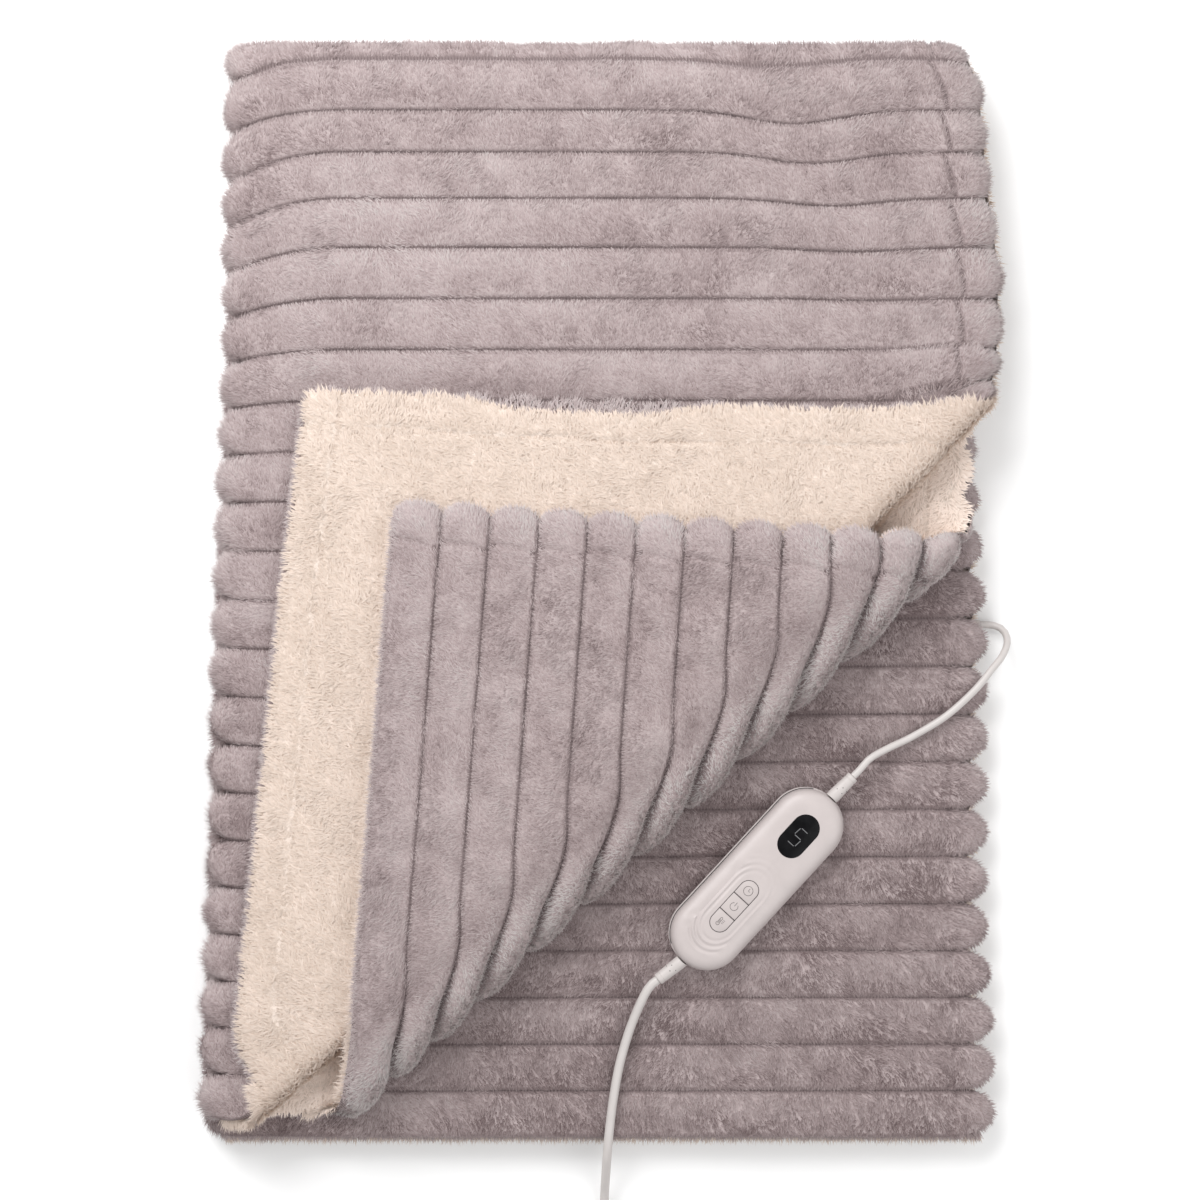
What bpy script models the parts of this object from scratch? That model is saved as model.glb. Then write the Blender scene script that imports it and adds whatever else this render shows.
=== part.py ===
"""An electric heated throw, folded in four, with its hand controller lying on it.

The throw is two panels sewn back to back: a ribbed plush face and a plain sherpa back. It is folded
in half about its left side, that pair is rolled over in half at the top, and the open corner of the
upper pair is turned back over itself along a diagonal, so that the sherpa shows as an L.

Cloth coordinates: u runs along the ribs from the left fold (u = 0), v runs across them from the top
roll (v = 0), and w is the distance from the middle of the folded pair out towards the plush.
  u > 0, v > 0  upper pair, top layer      u < 0, v > 0  upper pair, under layer
  u < 0, v < 0  lower pair, top layer      u > 0, v < 0  lower pair, layer on the floor
Metres, +Z up. The origin is on the floor, under the middle of the throw.
"""

import math

import bmesh
import bpy
import numpy as np
from mathutils import Matrix, Vector

# ---------------------------------------------------------------- throw, cut size and thicknesses
THROW_WIDTH = 1.30
THROW_LENGTH = 1.80
RIB_COUNT = 45
RIB_PITCH = THROW_LENGTH / RIB_COUNT
HALF_WIDTH = THROW_WIDTH / 2
HALF_LENGTH = THROW_LENGTH / 2

SHERPA_THICK = 0.006
SHERPA_HEM = 0.003            # at the very edge
PLUSH_SEAM = 0.003            # under a row of stitching and at the hem
PLUSH_PRESSED = 0.008         # a rib's crest under another layer, or on the floor
PLUSH_CREST = 0.013           # a free rib's crest
PANEL_GAP = 0.0003            # between the two panels
LAYER_GAP = 0.001             # between folded layers

SHERPA_W = LAYER_GAP / 2
JOIN_W = SHERPA_W + SHERPA_THICK
PLUSH_W = JOIN_W + PANEL_GAP
PRESSED_W = PLUSH_W + PLUSH_PRESSED

# ---------------------------------------------------------------- folds
SIDE_RADIUS = 0.010           # of the left fold's neutral line
FOLD_REACH = SIDE_RADIUS * math.pi / 2     # cloth from the left fold's middle to its end
ROLL_RADIUS = PRESSED_W + LAYER_GAP / 2
LOWER_PAIR_Z = PRESSED_W
ROLL_Z = LOWER_PAIR_Z + ROLL_RADIUS
UPPER_PAIR_Z = ROLL_Z + ROLL_RADIUS
UPPER_TOP_Z = UPPER_PAIR_Z + PRESSED_W

ROLL_REACH = 0.0285           # cloth from the roll's middle to its end
CORNER_REACH_DROP = 0.014     # how much less of it there is at the left fold
CORNER_SINK = 0.020           # how far the ribs sink further towards the left fold
CORNER_LENGTH = 0.26          # distance from the roll in which that fades
SHEAR_WIDTH = 0.14            # width beside the left fold in which the ribs sink
UPPER_LIFT = 0.0095           # the upper pair is drawn up past the roll, the lower one let down
LOWER_LIFT = -0.0105
LIFT_LENGTH = 0.10

TOP_LINE = (math.radians(43.9), 0.6290)    # top layer's crease: its angle, its distance from 0, 0
UNDER_LINE = (math.radians(43.3), 0.6741)  # under layer's crease
TURN_Z = UPPER_TOP_Z + LAYER_GAP / 2       # axis of the top layer's turn
TOP_TURN_RADIUS = TURN_Z - UPPER_PAIR_Z - JOIN_W
TOP_TURN = math.pi * TOP_TURN_RADIUS       # cloth used in that turn
UPPER_DOWN = HALF_LENGTH - ROLL_REACH - UPPER_LIFT   # lower edge of the upper pair, laid flat
NOSE_RADIUS = 0.0145          # of the under layer's turn, at the join of its panels
NOSE_SLOPE = math.radians(24)              # from the nose up to the flat of the flap
EASE_RADIUS = 0.05            # where that slope levels out
LOOSE_GAP = 0.003             # between the two layers of the flap
FLAP_JOIN_Z = TURN_Z + (TURN_Z - UPPER_PAIR_Z - SHERPA_W) + LOOSE_GAP + SHERPA_THICK
UNDER_JOIN_Z = UPPER_PAIR_Z - JOIN_W
UNDER_SLACK = 0.019           # cloth of the under layer taken up beside the left fold
SLACK_WIDTH = 0.06

# ---------------------------------------------------------------- where the throw lies
FOLD_X = -0.3034              # left fold's axis
ROLL_Y = 0.4241               # top roll's axis
SPAN = HALF_WIDTH - FOLD_REACH

# Unevenness. Each row: distance from the roll's axis, then how far an edge is moved along X.
LEFT_SIDE = ((0.0, 0.0090), (0.22, 0.0090), (0.42, 0.0005), (0.60, -0.0040), (0.80, -0.0100))
TOP_RIGHT = ((-0.03, -0.027), (0.01, -0.014), (0.09, -0.0070), (0.16, 0.0025), (0.30, 0.0))
UNDER_RIGHT = ((-0.03, -0.020), (0.10, -0.012), (0.30, 0.0))
LOWER_RIGHT = ((-0.03, -0.020), (0.31, -0.0150), (0.46, -0.0060), (0.70, -0.0060), (0.80, 0.0))
FLOOR_RIGHT = ((-0.03, -0.027), (0.20, -0.0240), (0.90, -0.0240))
ROW_SAG_FROM, ROW_SAG_TO = 0.13, 0.90
TOP_ROW_SAG = 0.0135          # how much lower the middle ribs of a layer lie
LOWER_ROW_SAG = 0.0065
DIP_U, DIP_LEAN, DIP_WIDTH = 0.46, 0.36, 0.055   # a soft crease that runs down from the roll
DIP_DEPTH, DIP_LENGTH = 0.012, 0.13
FLAP_LEAN, LEAN_FROM = 0.042, 0.263        # slant of the top layer's flap, from its upper edge down
LEAN_EASE = 0.04              # distance past its turn in which the slant sets in
SAG_EASE = 0.10               # distance past its turn in which the ribs' sag fades
FLAP_EDGE_SAG = 0.009         # sag of the ribs below the flap's upper edge
SCALLOP = 0.009               # how far a seam's end lies inside the rib ends beside it
SCALLOP_WIDTH = 0.030
SHERPA_INSET = 0.004
HEM_ROUND = 0.012             # width over which an edge rounds off
PRESSED_MARGIN = 0.014        # width beside the top layer's flap and crease in which ribs rise
NOSE_FREE = (0.4, 1.2)        # angles round the nose between which its ribs rise
LOWER_FREE = (0.018, 0.038)   # distances past the under layer's crease, for the ribs below it

# ---------------------------------------------------------------- mesh of the cloth
RIB_FLANK = 0.25              # share of the pitch from a seam to the crest
FOLD_STEPS = 6
TURN_STEPS = 6
HEM_LINES = (0.004, HEM_ROUND)
CORNER_COLUMNS = (0.032, 0.050, 0.070, 0.090, 0.115)
BODY_COLUMNS = (0.14, 0.38)
CORNER_ROWS = (0.0035, 0.007, 0.0105, 0.0145)
OPEN_ROWS = (0.0215, 0.0285, 0.040, 0.060, 0.10, 0.14, 0.22, 0.34, 0.46, 0.58, 0.70, 0.80)

# ---------------------------------------------------------------- controller
# Its own frame: X along it towards the display, Z up from its underside.
CONTROL_LENGTH = 0.184
CONTROL_WIDTH = 0.062
CONTROL_HEIGHT = 0.024
CONTROL_X, CONTROL_Y = 0.1306, -0.2413
CONTROL_TURN = math.radians(47.4)
CONTROL_Z = LOWER_PAIR_Z + PLUSH_W + PLUSH_CREST + PANEL_GAP
FIT_GAP = 0.0003
PART_LINE_Z = 0.010           # height of the line between its shells
LOWER_SHELL = ((0.0, 0.0045), (0.0012, 0.0016), (0.0040, 0.0), (PART_LINE_Z, 0.0))
UPPER_SHELL = (
    (PART_LINE_Z + FIT_GAP, 0.0), (0.0165, 0.0007), (0.0205, 0.0030), (0.0231, 0.0070), (CONTROL_HEIGHT, 0.0125)
)                             # height, then how far the outline is drawn in
END_STEPS = 12                # steps round each half-round end
DISPLAY_LENGTH, DISPLAY_WIDTH, DISPLAY_AT = 0.0415, 0.0240, 0.0500
KEYS_LENGTH, KEYS_WIDTH, KEYS_AT = 0.0520, 0.0165, -0.0285
KEY_LENGTH = 0.0168           # of the middle key
KEY_GAP = 0.0005
KEY_RISE = 0.0004
POCKET_DEPTH = 0.0014

RELIEF_Z = 0.0115             # height of the leads' axis above the controller's underside
RELIEF_LENGTH = 0.0250
RELIEF_SHAPE = ((0.0045, 0.0057), (0.0210, 0.0050), (RELIEF_LENGTH, 0.0046))   # distance out, radius
RELIEF_ROOT = 0.0055
MAINS_RELIEF_TURN = math.radians(218)
THIN_RELIEF_TURN = math.radians(45)
RELIEF_SIDES = 14

# ---------------------------------------------------------------- leads
MAINS_DIAMETER = 0.0076
THIN_DIAMETER = 0.0060
LEAD_POINT_STEP = 2.4         # diameters between a lead's points
LEAD_END_STEP = 0.8           # diameters of straight lead at each of its ends
MAINS_ROUTE = (               # from the strain relief over the ribs and the hem to the floor
    (0.0484, -0.3246, 0.0464), (0.0420, -0.3299, 0.0463), (0.0352, -0.3420, 0.0447), (0.0253, -0.3664, 0.0408),
    (0.0170, -0.3951, 0.0390), (0.0120, -0.4217, 0.0389), (0.0087, -0.4466, 0.0390), (0.0066, -0.4690, 0.0360),
    (0.0054, -0.4890, 0.0250), (0.0044, -0.5070, 0.0130), (0.0038, -0.5260, 0.0062), (0.0034, -0.5450, 0.0042),
    (0.0034, -0.5650, 0.0041),
)
THIN_ROUTE = (                # from the strain relief over the ribs and the hem and back into the hem
    (0.2108, -0.1557, 0.0464), (0.2165, -0.1500, 0.0463), (0.2253, -0.1406, 0.0450), (0.2425, -0.1315, 0.0415),
    (0.2594, -0.1237, 0.0392), (0.2884, -0.1063, 0.0382), (0.3125, -0.0847, 0.0380), (0.3274, -0.0673, 0.0350),
    (0.3375, -0.0555, 0.0285), (0.3425, -0.0440, 0.0205), (0.3400, -0.0345, 0.0130), (0.3320, -0.0304, 0.0085),
    (0.3265, -0.0300, 0.0076), (0.3215, -0.0300, 0.0075),
)
GLAND_X, GLAND_Y, GLAND_Z = 0.3072, -0.0300, 0.0075
GLAND_SHAPE = ((0.0, 0.0048), (0.0050, 0.0046), (0.0140, 0.0037))

COIL_X, COIL_Y = 0.0500, -0.5923
COIL_RADIUS = 0.0390          # at the middle of its turns
COIL_WIDE, COIL_HIGH = 3, 2   # turns side by side and on each other
COIL_BOTTOM = 0.0003
COIL_STEPS = 36
TAIL_Y = COIL_Y - COIL_RADIUS - MAINS_DIAMETER
TAIL_ROUTE = ((0.0776, TAIL_Y, 0.0117), (0.0910, TAIL_Y, 0.0110), (0.1050, TAIL_Y, 0.0084), (0.1190, TAIL_Y, 0.0081))

# ---------------------------------------------------------------- plug
PLUG_X, PLUG_Z = 0.1193, 0.0081
PLUG_SHAPE = (                # distance from the lead, half width, half height
    (0.0, 0.0046, 0.0046), (0.0220, 0.0056, 0.0054), (0.0250, 0.0085, 0.0066), (0.0380, 0.0150, 0.0077),
    (0.0540, 0.0170, 0.0078), (0.0560, 0.0158, 0.0068),
)
PLUG_SIDES = 16
PIN_RADIUS, PIN_LENGTH, PIN_SPACING = 0.0020, 0.0190, 0.0190


# ================================================================ folding
def follow(sections, run, out):
    """Places a point on a path that starts along +a at height 0 and turns upwards.

    sections holds (length, radius) rows, radius 0 for a straight one. run is the distance along the
    path and out is how far the point lies off it, on the outer side. Returns a and height."""
    along = np.minimum(run, 0.0)
    height = np.zeros_like(along)
    heading = np.zeros_like(along)
    for length, radius in sections:
        step = np.clip(run, 0.0, length)
        if radius:
            after = heading + step / radius
            along = along + radius * (np.sin(after) - np.sin(heading))
            height = height + radius * (np.cos(heading) - np.cos(after))
            heading = after
        else:
            along = along + step * np.cos(heading)
            height = height + step * np.sin(heading)
        run = run - length
    beyond = np.maximum(run, 0.0)
    along = along + beyond * np.cos(heading)
    height = height + beyond * np.sin(heading)
    return along + out * np.sin(heading), height - out * np.cos(heading)


def smooth(x):
    x = np.clip(x, 0.0, 1.0)
    return x * x * (3.0 - 2.0 * x)


def from_table(rows, x):
    return np.interp(x, [row[0] for row in rows], [row[1] for row in rows])


def nose_path():
    """The under layer's turn: round the nose, up the slope and level again."""
    level = EASE_RADIUS * (1.0 - math.cos(NOSE_SLOPE))
    rise = FLAP_JOIN_Z - UNDER_JOIN_Z - level - NOSE_RADIUS * (1.0 + math.cos(NOSE_SLOPE))
    return (
        ((math.pi - NOSE_SLOPE) * NOSE_RADIUS, NOSE_RADIUS),
        (rise / math.sin(NOSE_SLOPE), 0.0),
        (NOSE_SLOPE * EASE_RADIUS, EASE_RADIUS),
    )


def beside_fold(u):
    """0 at the left fold, 1 past the width in which the ribs sink towards it."""
    return smooth(np.abs(u) / SHEAR_WIDTH)


def near_roll(v):
    return np.exp(-((v / CORNER_LENGTH) ** 2))


def roll_reach(u, v):
    """Cloth used between the roll's middle and its end."""
    return ROLL_REACH - CORNER_REACH_DROP * near_roll(v) * (1.0 - beside_fold(u))


def flat_place(u, v):
    """Where a point of the cloth lies in plan before the diagonal turn: distances right of the left
    fold's axis and below the roll's axis, on the flat parts."""
    right = np.maximum(np.abs(u) - FOLD_REACH, 0.0)
    down = np.maximum(np.abs(v) - roll_reach(u, v), 0.0)
    under = (u < 0) & (v > 0)
    taken = np.where(under, UNDER_SLACK, 0.0) * smooth(right / SLACK_WIDTH)
    lift = np.where(v > 0, UPPER_LIFT, LOWER_LIFT) * smooth(down / LIFT_LENGTH)
    sink = np.where(v > 0, CORNER_SINK, 0.0) * near_roll(v) * (1.0 - beside_fold(u))
    return right - taken, down - lift + sink * smooth(down / LIFT_LENGTH)


def past_line(line, right, down):
    """Distance of a plan point beyond a diagonal crease, towards the lower right."""
    angle, distance = line
    return math.sin(angle) * right + math.cos(angle) * down - distance


def moved_along_normal(line, right, down, by):
    angle = line[0]
    return right + by * math.sin(angle), down + by * math.cos(angle)


def fold_cloth(u, v, w):
    """The place in space of cloth points u, v at distance w from the middle of the pair."""
    side_run = u + FOLD_REACH
    along, height = follow(((math.pi * SIDE_RADIUS, SIDE_RADIUS),), side_run, w - SIDE_RADIUS)
    across = -along
    above = height - SIDE_RADIUS
    angle = np.clip(v / roll_reach(u, v), -1.0, 1.0) * math.pi / 2
    flat_right, flat_down = flat_place(u, v)
    right = across + flat_right - np.maximum(np.abs(u) - FOLD_REACH, 0.0)
    down = flat_down - (ROLL_RADIUS + above) * np.cos(angle)
    z = ROLL_Z + (ROLL_RADIUS + above) * np.sin(angle)
    right, down, z, past = turn_back(u, v, right, down, z)
    return uneven(u, v, right, down, z, past)


def turn_back(u, v, right, down, z):
    """Turns the corner of both layers of the upper pair up and back over itself.

    Also returns each point's distance past that turn."""
    past = np.zeros_like(right)
    turns = (
        (TOP_LINE, UPPER_PAIR_Z + JOIN_W, ((TOP_TURN, TOP_TURN_RADIUS),), u > 0),
        (UNDER_LINE, UNDER_JOIN_Z, nose_path(), u <= 0),
    )
    for line, join_z, path, side in turns:
        beyond = past_line(line, right, down)
        here = side & (v > 0) & (beyond > 0)
        along, height = follow(path, beyond, join_z - z)
        new_right, new_down = moved_along_normal(line, right, down, along - beyond)
        right = np.where(here, new_right, right)
        down = np.where(here, new_down, down)
        z = np.where(here, join_z + height, z)
        length = sum(row[0] for row in path)
        past = np.where(here, np.maximum(beyond - length, 0.0), past)
    return right, down, z, past


def uneven(u, v, right, down, z, past):
    """Moves the folded cloth in plan to where its edges, ribs and creases really run."""
    share = np.clip(right / SPAN, -0.05, 1.05)
    upper = np.where(u > 0, from_table(TOP_RIGHT, down), from_table(UNDER_RIGHT, down))
    lower = np.where(u > 0, from_table(FLOOR_RIGHT, down), from_table(LOWER_RIGHT, down))
    moved_right = np.where(v > 0, upper, lower) * share + from_table(LEFT_SIDE, down) * (1.0 - share)
    spread = np.clip((down - ROW_SAG_FROM) / (ROW_SAG_TO - ROW_SAG_FROM), 0.0, 1.0)
    sag_shape = np.sin(math.pi * spread)
    top_sag = np.where(u > 0, TOP_ROW_SAG, 0.0)
    lower_sag = np.where(u > 0, 0.0, LOWER_ROW_SAG)
    beside = beside_fold(u)
    fold_sag = (1.0 - beside) * (TOP_ROW_SAG + LOWER_ROW_SAG) / 2
    row_sag = fold_sag + beside * np.where(v > 0, top_sag, lower_sag)
    moved_down = row_sag * sag_shape * (1.0 - smooth(past / SAG_EASE))
    from_dip = (right - DIP_U - DIP_LEAN * np.maximum(down, 0.0)) / DIP_WIDTH
    dip = DIP_DEPTH * np.exp(-(from_dip ** 2)) * np.exp(-((down / DIP_LENGTH) ** 2))
    moved_down = moved_down + np.where((u > 0) & (v > 0), dip * smooth(v / 0.04), 0.0)
    lean = FLAP_LEAN * (down - LEAN_FROM) * smooth(past / LEAN_EASE)
    moved_right = moved_right - np.where(u > 0, lean, 0.0)
    x = FOLD_X + right + moved_right
    y = ROLL_Y - down - moved_down
    return x, y, z


# ================================================================ thickness
def rib_shape(v):
    """0 at a seam, 1 over a rib's crest."""
    phase = np.mod(v / RIB_PITCH + RIB_COUNT / 2, 1.0)
    return np.clip(np.minimum(phase, 1.0 - phase) / RIB_FLANK, 0.0, 1.0)


def rounding(u):
    """0 at the ribs' ends, 1 past the hem's round."""
    inside = np.clip((HALF_WIDTH - np.abs(u)) / HEM_ROUND, 0.0, 1.0)
    return np.sqrt(1.0 - (1.0 - inside) ** 2)


def free_share(u, v):
    """1 where the plush lies free, 0 where a layer or the floor presses it."""
    right, down = flat_place(u, v)
    beyond = past_line(TOP_LINE, right, down)
    unslanted = right + FLAP_LEAN * (down - LEAN_FROM)
    by = TOP_TURN - 2.0 * past_line(TOP_LINE, unslanted, down)
    opposite = moved_along_normal(TOP_LINE, unslanted, down, by)
    covered = np.minimum(SPAN + FLAP_EDGE_SAG - opposite[0], UPPER_DOWN - opposite[1])
    top = np.clip(np.minimum(-covered, -beyond) / PRESSED_MARGIN, 0.0, 1.0)
    past_nose = past_line(UNDER_LINE, right, down)
    under = from_table(((NOSE_FREE[0], 0.0), (NOSE_FREE[1], 1.0)), past_nose / NOSE_RADIUS)
    lower = from_table(((LOWER_FREE[0], 0.0), (LOWER_FREE[1], 1.0)), past_nose)
    free = np.where(v > 0, np.where(u > 0, top, under), np.where(u > 0, 0.0, lower))
    side = np.cos(np.clip(u / SIDE_RADIUS, -math.pi / 2, math.pi / 2)) ** 2
    roll_turn = np.clip(v / roll_reach(u, v), -1.0, 1.0) * math.pi / 2
    roll = np.where((u > 0) & (v < 0), np.cos(roll_turn) ** 2, 0.0)
    return np.maximum(free, np.maximum(side, roll))


def plush_outside(u, v):
    crest = PLUSH_PRESSED + (PLUSH_CREST - PLUSH_PRESSED) * free_share(u, v)
    return PLUSH_W + PLUSH_SEAM + (crest - PLUSH_SEAM) * rib_shape(v) * rounding(u)


def sherpa_outside(u, v):
    return JOIN_W - SHERPA_HEM - (SHERPA_THICK - SHERPA_HEM) * rounding(u)


def even_at(w):
    """A panel's face at one distance from the middle of the pair."""
    return lambda u, v: np.full_like(u, w)


def drawn_in(u, v, depth_at):
    """Draws the ribs' ends in by depth_at(v), fading towards the middle of the cloth."""
    fade = np.clip(1.0 - (HALF_WIDTH - np.abs(u)) / SCALLOP_WIDTH, 0.0, 1.0) ** 2
    return u - np.sign(u) * depth_at(v) * fade


def scalloped(v):
    return SCALLOP * (1.0 - rib_shape(v))


def straight(v):
    return np.full_like(v, SHERPA_INSET)


# ================================================================ panels
def cut(bm, point, normal, region):
    """Divides the faces of a flat panel whose middles lie in region along one line."""
    u0, u1, v0, v1 = region
    faces = []
    for face in bm.faces:
        middle = face.calc_center_median()
        if u0 < middle.x < u1 and v0 < middle.y < v1:
            faces.append(face)
    edges = {edge for face in faces for edge in face.edges}
    verts = {vert for face in faces for vert in face.verts}
    bmesh.ops.bisect_plane(
        bm, geom=[*verts, *edges, *faces], plane_co=(*point, 0.0), plane_no=(*normal, 0.0), dist=2e-5
    )


def both_signs(values):
    return [sign * value for value in values for sign in (-1, 1)]


def param_panel(rows, lower_free):
    """The flat cloth as a mesh in u and v, divided along rows and wherever a fold needs it."""
    whole = (-1.0, 1.0, -1.0, 1.0)
    corner_width, corner_length = BODY_COLUMNS[0], 0.21
    bm = bmesh.new()
    corners = ((-1, -1), (1, -1), (1, 1), (-1, 1))
    bm.faces.new([bm.verts.new((a * HALF_WIDTH, b * HALF_LENGTH, 0.0)) for a, b in corners])
    for row in rows:
        cut(bm, (0.0, row), (0.0, 1.0), whole)
    columns = [(2 * k / FOLD_STEPS - 1) * FOLD_REACH for k in range(FOLD_STEPS + 1)]
    columns += both_signs(BODY_COLUMNS)
    columns += both_signs([HALF_WIDTH - line for line in HEM_LINES])
    for column in columns:
        cut(bm, (column, 0.0), (1.0, 0.0), whole)
    for column in both_signs(CORNER_COLUMNS):
        cut(bm, (column, 0.0), (1.0, 0.0), (-1.0, 1.0, -corner_length, corner_length))
    for row in both_signs(CORNER_ROWS):
        cut(bm, (0.0, row), (0.0, 1.0), (-corner_width, corner_width, -0.03, 0.03))
    top_corner, under_corner = (0.0, 1.0, 0.20, 1.0), (-1.0, 0.0, 0.20, 1.0)
    for run in [-PRESSED_MARGIN] + [k * TOP_TURN / TURN_STEPS for k in range(TURN_STEPS + 1)]:
        plan_cut(bm, *line_past(TOP_LINE, run), 0.0, UPPER_LIFT, top_corner)
    nose, slope, ease = (row[0] for row in nose_path())
    nose_runs = [k * nose / TURN_STEPS for k in range(TURN_STEPS + 1)]
    for run in nose_runs + [nose + slope, nose + slope + ease / 2, nose + slope + ease]:
        plan_cut(bm, *line_past(UNDER_LINE, run), UNDER_SLACK, UPPER_LIFT, under_corner)
    for run in lower_free:
        plan_cut(bm, *line_past(UNDER_LINE, run), 0.0, LOWER_LIFT, (-1.0, 0.0, -1.0, -0.20))
    if lower_free:
        for outside in (0.0, PRESSED_MARGIN):
            footprint_cuts(bm, outside)
    bmesh.ops.triangulate(bm, faces=bm.faces[:], quad_method="BEAUTY", ngon_method="BEAUTY")
    return bm


def line_past(line, run):
    """A point on the line at distance run past a crease, and its normal, in plan."""
    angle, distance = line
    normal = (math.sin(angle), math.cos(angle))
    return [(distance + run) * part for part in normal], normal


def plan_cut(bm, point, normal, slack, lift, region):
    """A cut along a line that is straight in plan, in one quarter of the panel."""
    u_sign = 1 if region[1] > 0 else -1
    v_sign = 1 if region[3] > 0 else -1
    u = u_sign * (point[0] + slack + FOLD_REACH)
    v = v_sign * (point[1] + lift + ROLL_REACH)
    cut(bm, (u, v), (u_sign * normal[0], v_sign * normal[1]), region)


def footprint_cuts(bm, outside):
    """Cuts in the top layer's body below the two edges of the flap that lies on it, or outside them."""
    angle, distance = TOP_LINE
    sine, cosine = math.sin(2 * angle), math.cos(2 * angle)
    reach = TOP_TURN + 2 * distance
    edges = (
        ((cosine, cosine * FLAP_LEAN - sine),
         SPAN + FLAP_EDGE_SAG + outside - math.sin(angle) * reach + cosine * FLAP_LEAN * LEAN_FROM,
         (0.05, 0.65, 0.20, 0.45)),
        ((-sine, -sine * FLAP_LEAN - cosine),
         UPPER_DOWN + outside - math.cos(angle) * reach - sine * FLAP_LEAN * LEAN_FROM,
         (FOLD_REACH, 0.20, 0.20, 1.0)),
    )
    for normal, offset, region in edges:
        size = normal[0] ** 2 + normal[1] ** 2
        point = [offset / size * part for part in normal]
        plan_cut(bm, point, normal, 0.0, UPPER_LIFT, region)


def rim_order(bm):
    """The rim's vertices with their distance along the rim, from one corner round to itself."""
    rim = []
    for vert in bm.verts:
        if not vert.is_boundary:
            continue
        u, v = vert.co.x, vert.co.y
        if v < -HALF_LENGTH + 1e-5:
            place = u + HALF_WIDTH
        elif u > HALF_WIDTH - 1e-5:
            place = THROW_WIDTH + v + HALF_LENGTH
        elif v > HALF_LENGTH - 1e-5:
            place = THROW_WIDTH + THROW_LENGTH + HALF_WIDTH - u
        else:
            place = 2 * THROW_WIDTH + THROW_LENGTH + HALF_LENGTH - v
        rim.append((place, vert.index))
    rim.sort()
    return rim + [(2 * (THROW_WIDTH + THROW_LENGTH), rim[0][1])]


def place_panel(bm, source, w_at, depth_at):
    """Copies a flat panel into bm, folded, at the distances that w_at gives."""
    flat = np.array([vert.co[:2] for vert in source.verts])
    u, v = flat[:, 0], flat[:, 1]
    x, y, z = fold_cloth(drawn_in(u, v, depth_at), v, w_at(u, v))
    verts = [bm.verts.new(place) for place in zip(x, y, z)]
    for face in source.faces:
        bm.faces.new([verts[vert.index] for vert in face.verts])
    return verts


def panel_solid(name, outer, outer_w, outer_depth, inner, inner_w, made_of):
    """One closed panel: its two faces, and a strip between their rims."""
    bm = bmesh.new()
    for source in (outer, inner):
        source.verts.index_update()
    outside = place_panel(bm, outer, outer_w, outer_depth)
    inside = place_panel(bm, inner, inner_w, straight)
    outer_rim, inner_rim = rim_order(outer), rim_order(inner)
    i = j = 0
    while i < len(outer_rim) - 1 or j < len(inner_rim) - 1:
        take_outer = j == len(inner_rim) - 1 or (
            i < len(outer_rim) - 1 and outer_rim[i + 1][0] <= inner_rim[j + 1][0]
        )
        a, b = outside[outer_rim[i][1]], inside[inner_rim[j][1]]
        if take_outer:
            i += 1
            bm.faces.new((a, outside[outer_rim[i][1]], b))
        else:
            j += 1
            bm.faces.new((a, inside[inner_rim[j][1]], b))
    bmesh.ops.recalc_face_normals(bm, faces=bm.faces[:])
    return mesh_object(name, bm, made_of, smooth_angle=50)


def rib_rows():
    rows = []
    for rib in range(RIB_COUNT):
        start = rib * RIB_PITCH - HALF_LENGTH
        rows += [start, start + RIB_FLANK * RIB_PITCH, start + (1.0 - RIB_FLANK) * RIB_PITCH]
    return rows[1:]


def add_throw():
    plush = material("plush", (0.448, 0.380, 0.393), 0.95)
    sherpa = material("sherpa", (0.86, 0.76, 0.64), 0.95)
    ribbed = param_panel(rib_rows() + [0.0], LOWER_FREE)
    plain = param_panel([0.0] + both_signs(CORNER_ROWS + OPEN_ROWS), ())
    panel_solid("plush_face", ribbed, plush_outside, scalloped, plain, even_at(PLUSH_W), plush)
    panel_solid("sherpa_back", plain, sherpa_outside, straight, plain, even_at(JOIN_W), sherpa)
    ribbed.free()
    plain.free()


# ================================================================ controller
def controller_place(x=0.0, z=0.0):
    """The place of a frame at x along the controller and z above its underside."""
    turned = Matrix.Translation((CONTROL_X, CONTROL_Y, CONTROL_Z)) @ Matrix.Rotation(CONTROL_TURN, 4, "Z")
    return turned @ Matrix.Translation((x, 0.0, z))


def stadium(length, width, drawn=0.0):
    """Points round a shape with half-round ends, lying along X, drawn in all round."""
    radius = width / 2 - drawn
    centre = (length - width) / 2
    points = []
    for end in (1, -1):
        for k in range(END_STEPS + 1):
            angle = math.pi * (k / END_STEPS - end / 2)
            points.append((end * centre + radius * math.cos(angle), radius * math.sin(angle)))
    return points


def loft(rings):
    """A closed body through rings of the same number of points."""
    bm = bmesh.new()
    made = [[bm.verts.new(point) for point in ring] for ring in rings]
    for below, above in zip(made, made[1:]):
        for k in range(len(below)):
            bm.faces.new((below[k - 1], below[k], above[k], above[k - 1]))
    bm.faces.new(made[0][::-1])
    bm.faces.new(made[-1])
    bmesh.ops.recalc_face_normals(bm, faces=bm.faces[:])
    return bm


def shell(name, rows, made_of):
    rings = []
    for z, drawn in rows:
        rings.append([(x, y, z) for x, y in stadium(CONTROL_LENGTH, CONTROL_WIDTH, drawn)])
    return mesh_object(name, loft(rings), made_of, controller_place())


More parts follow.
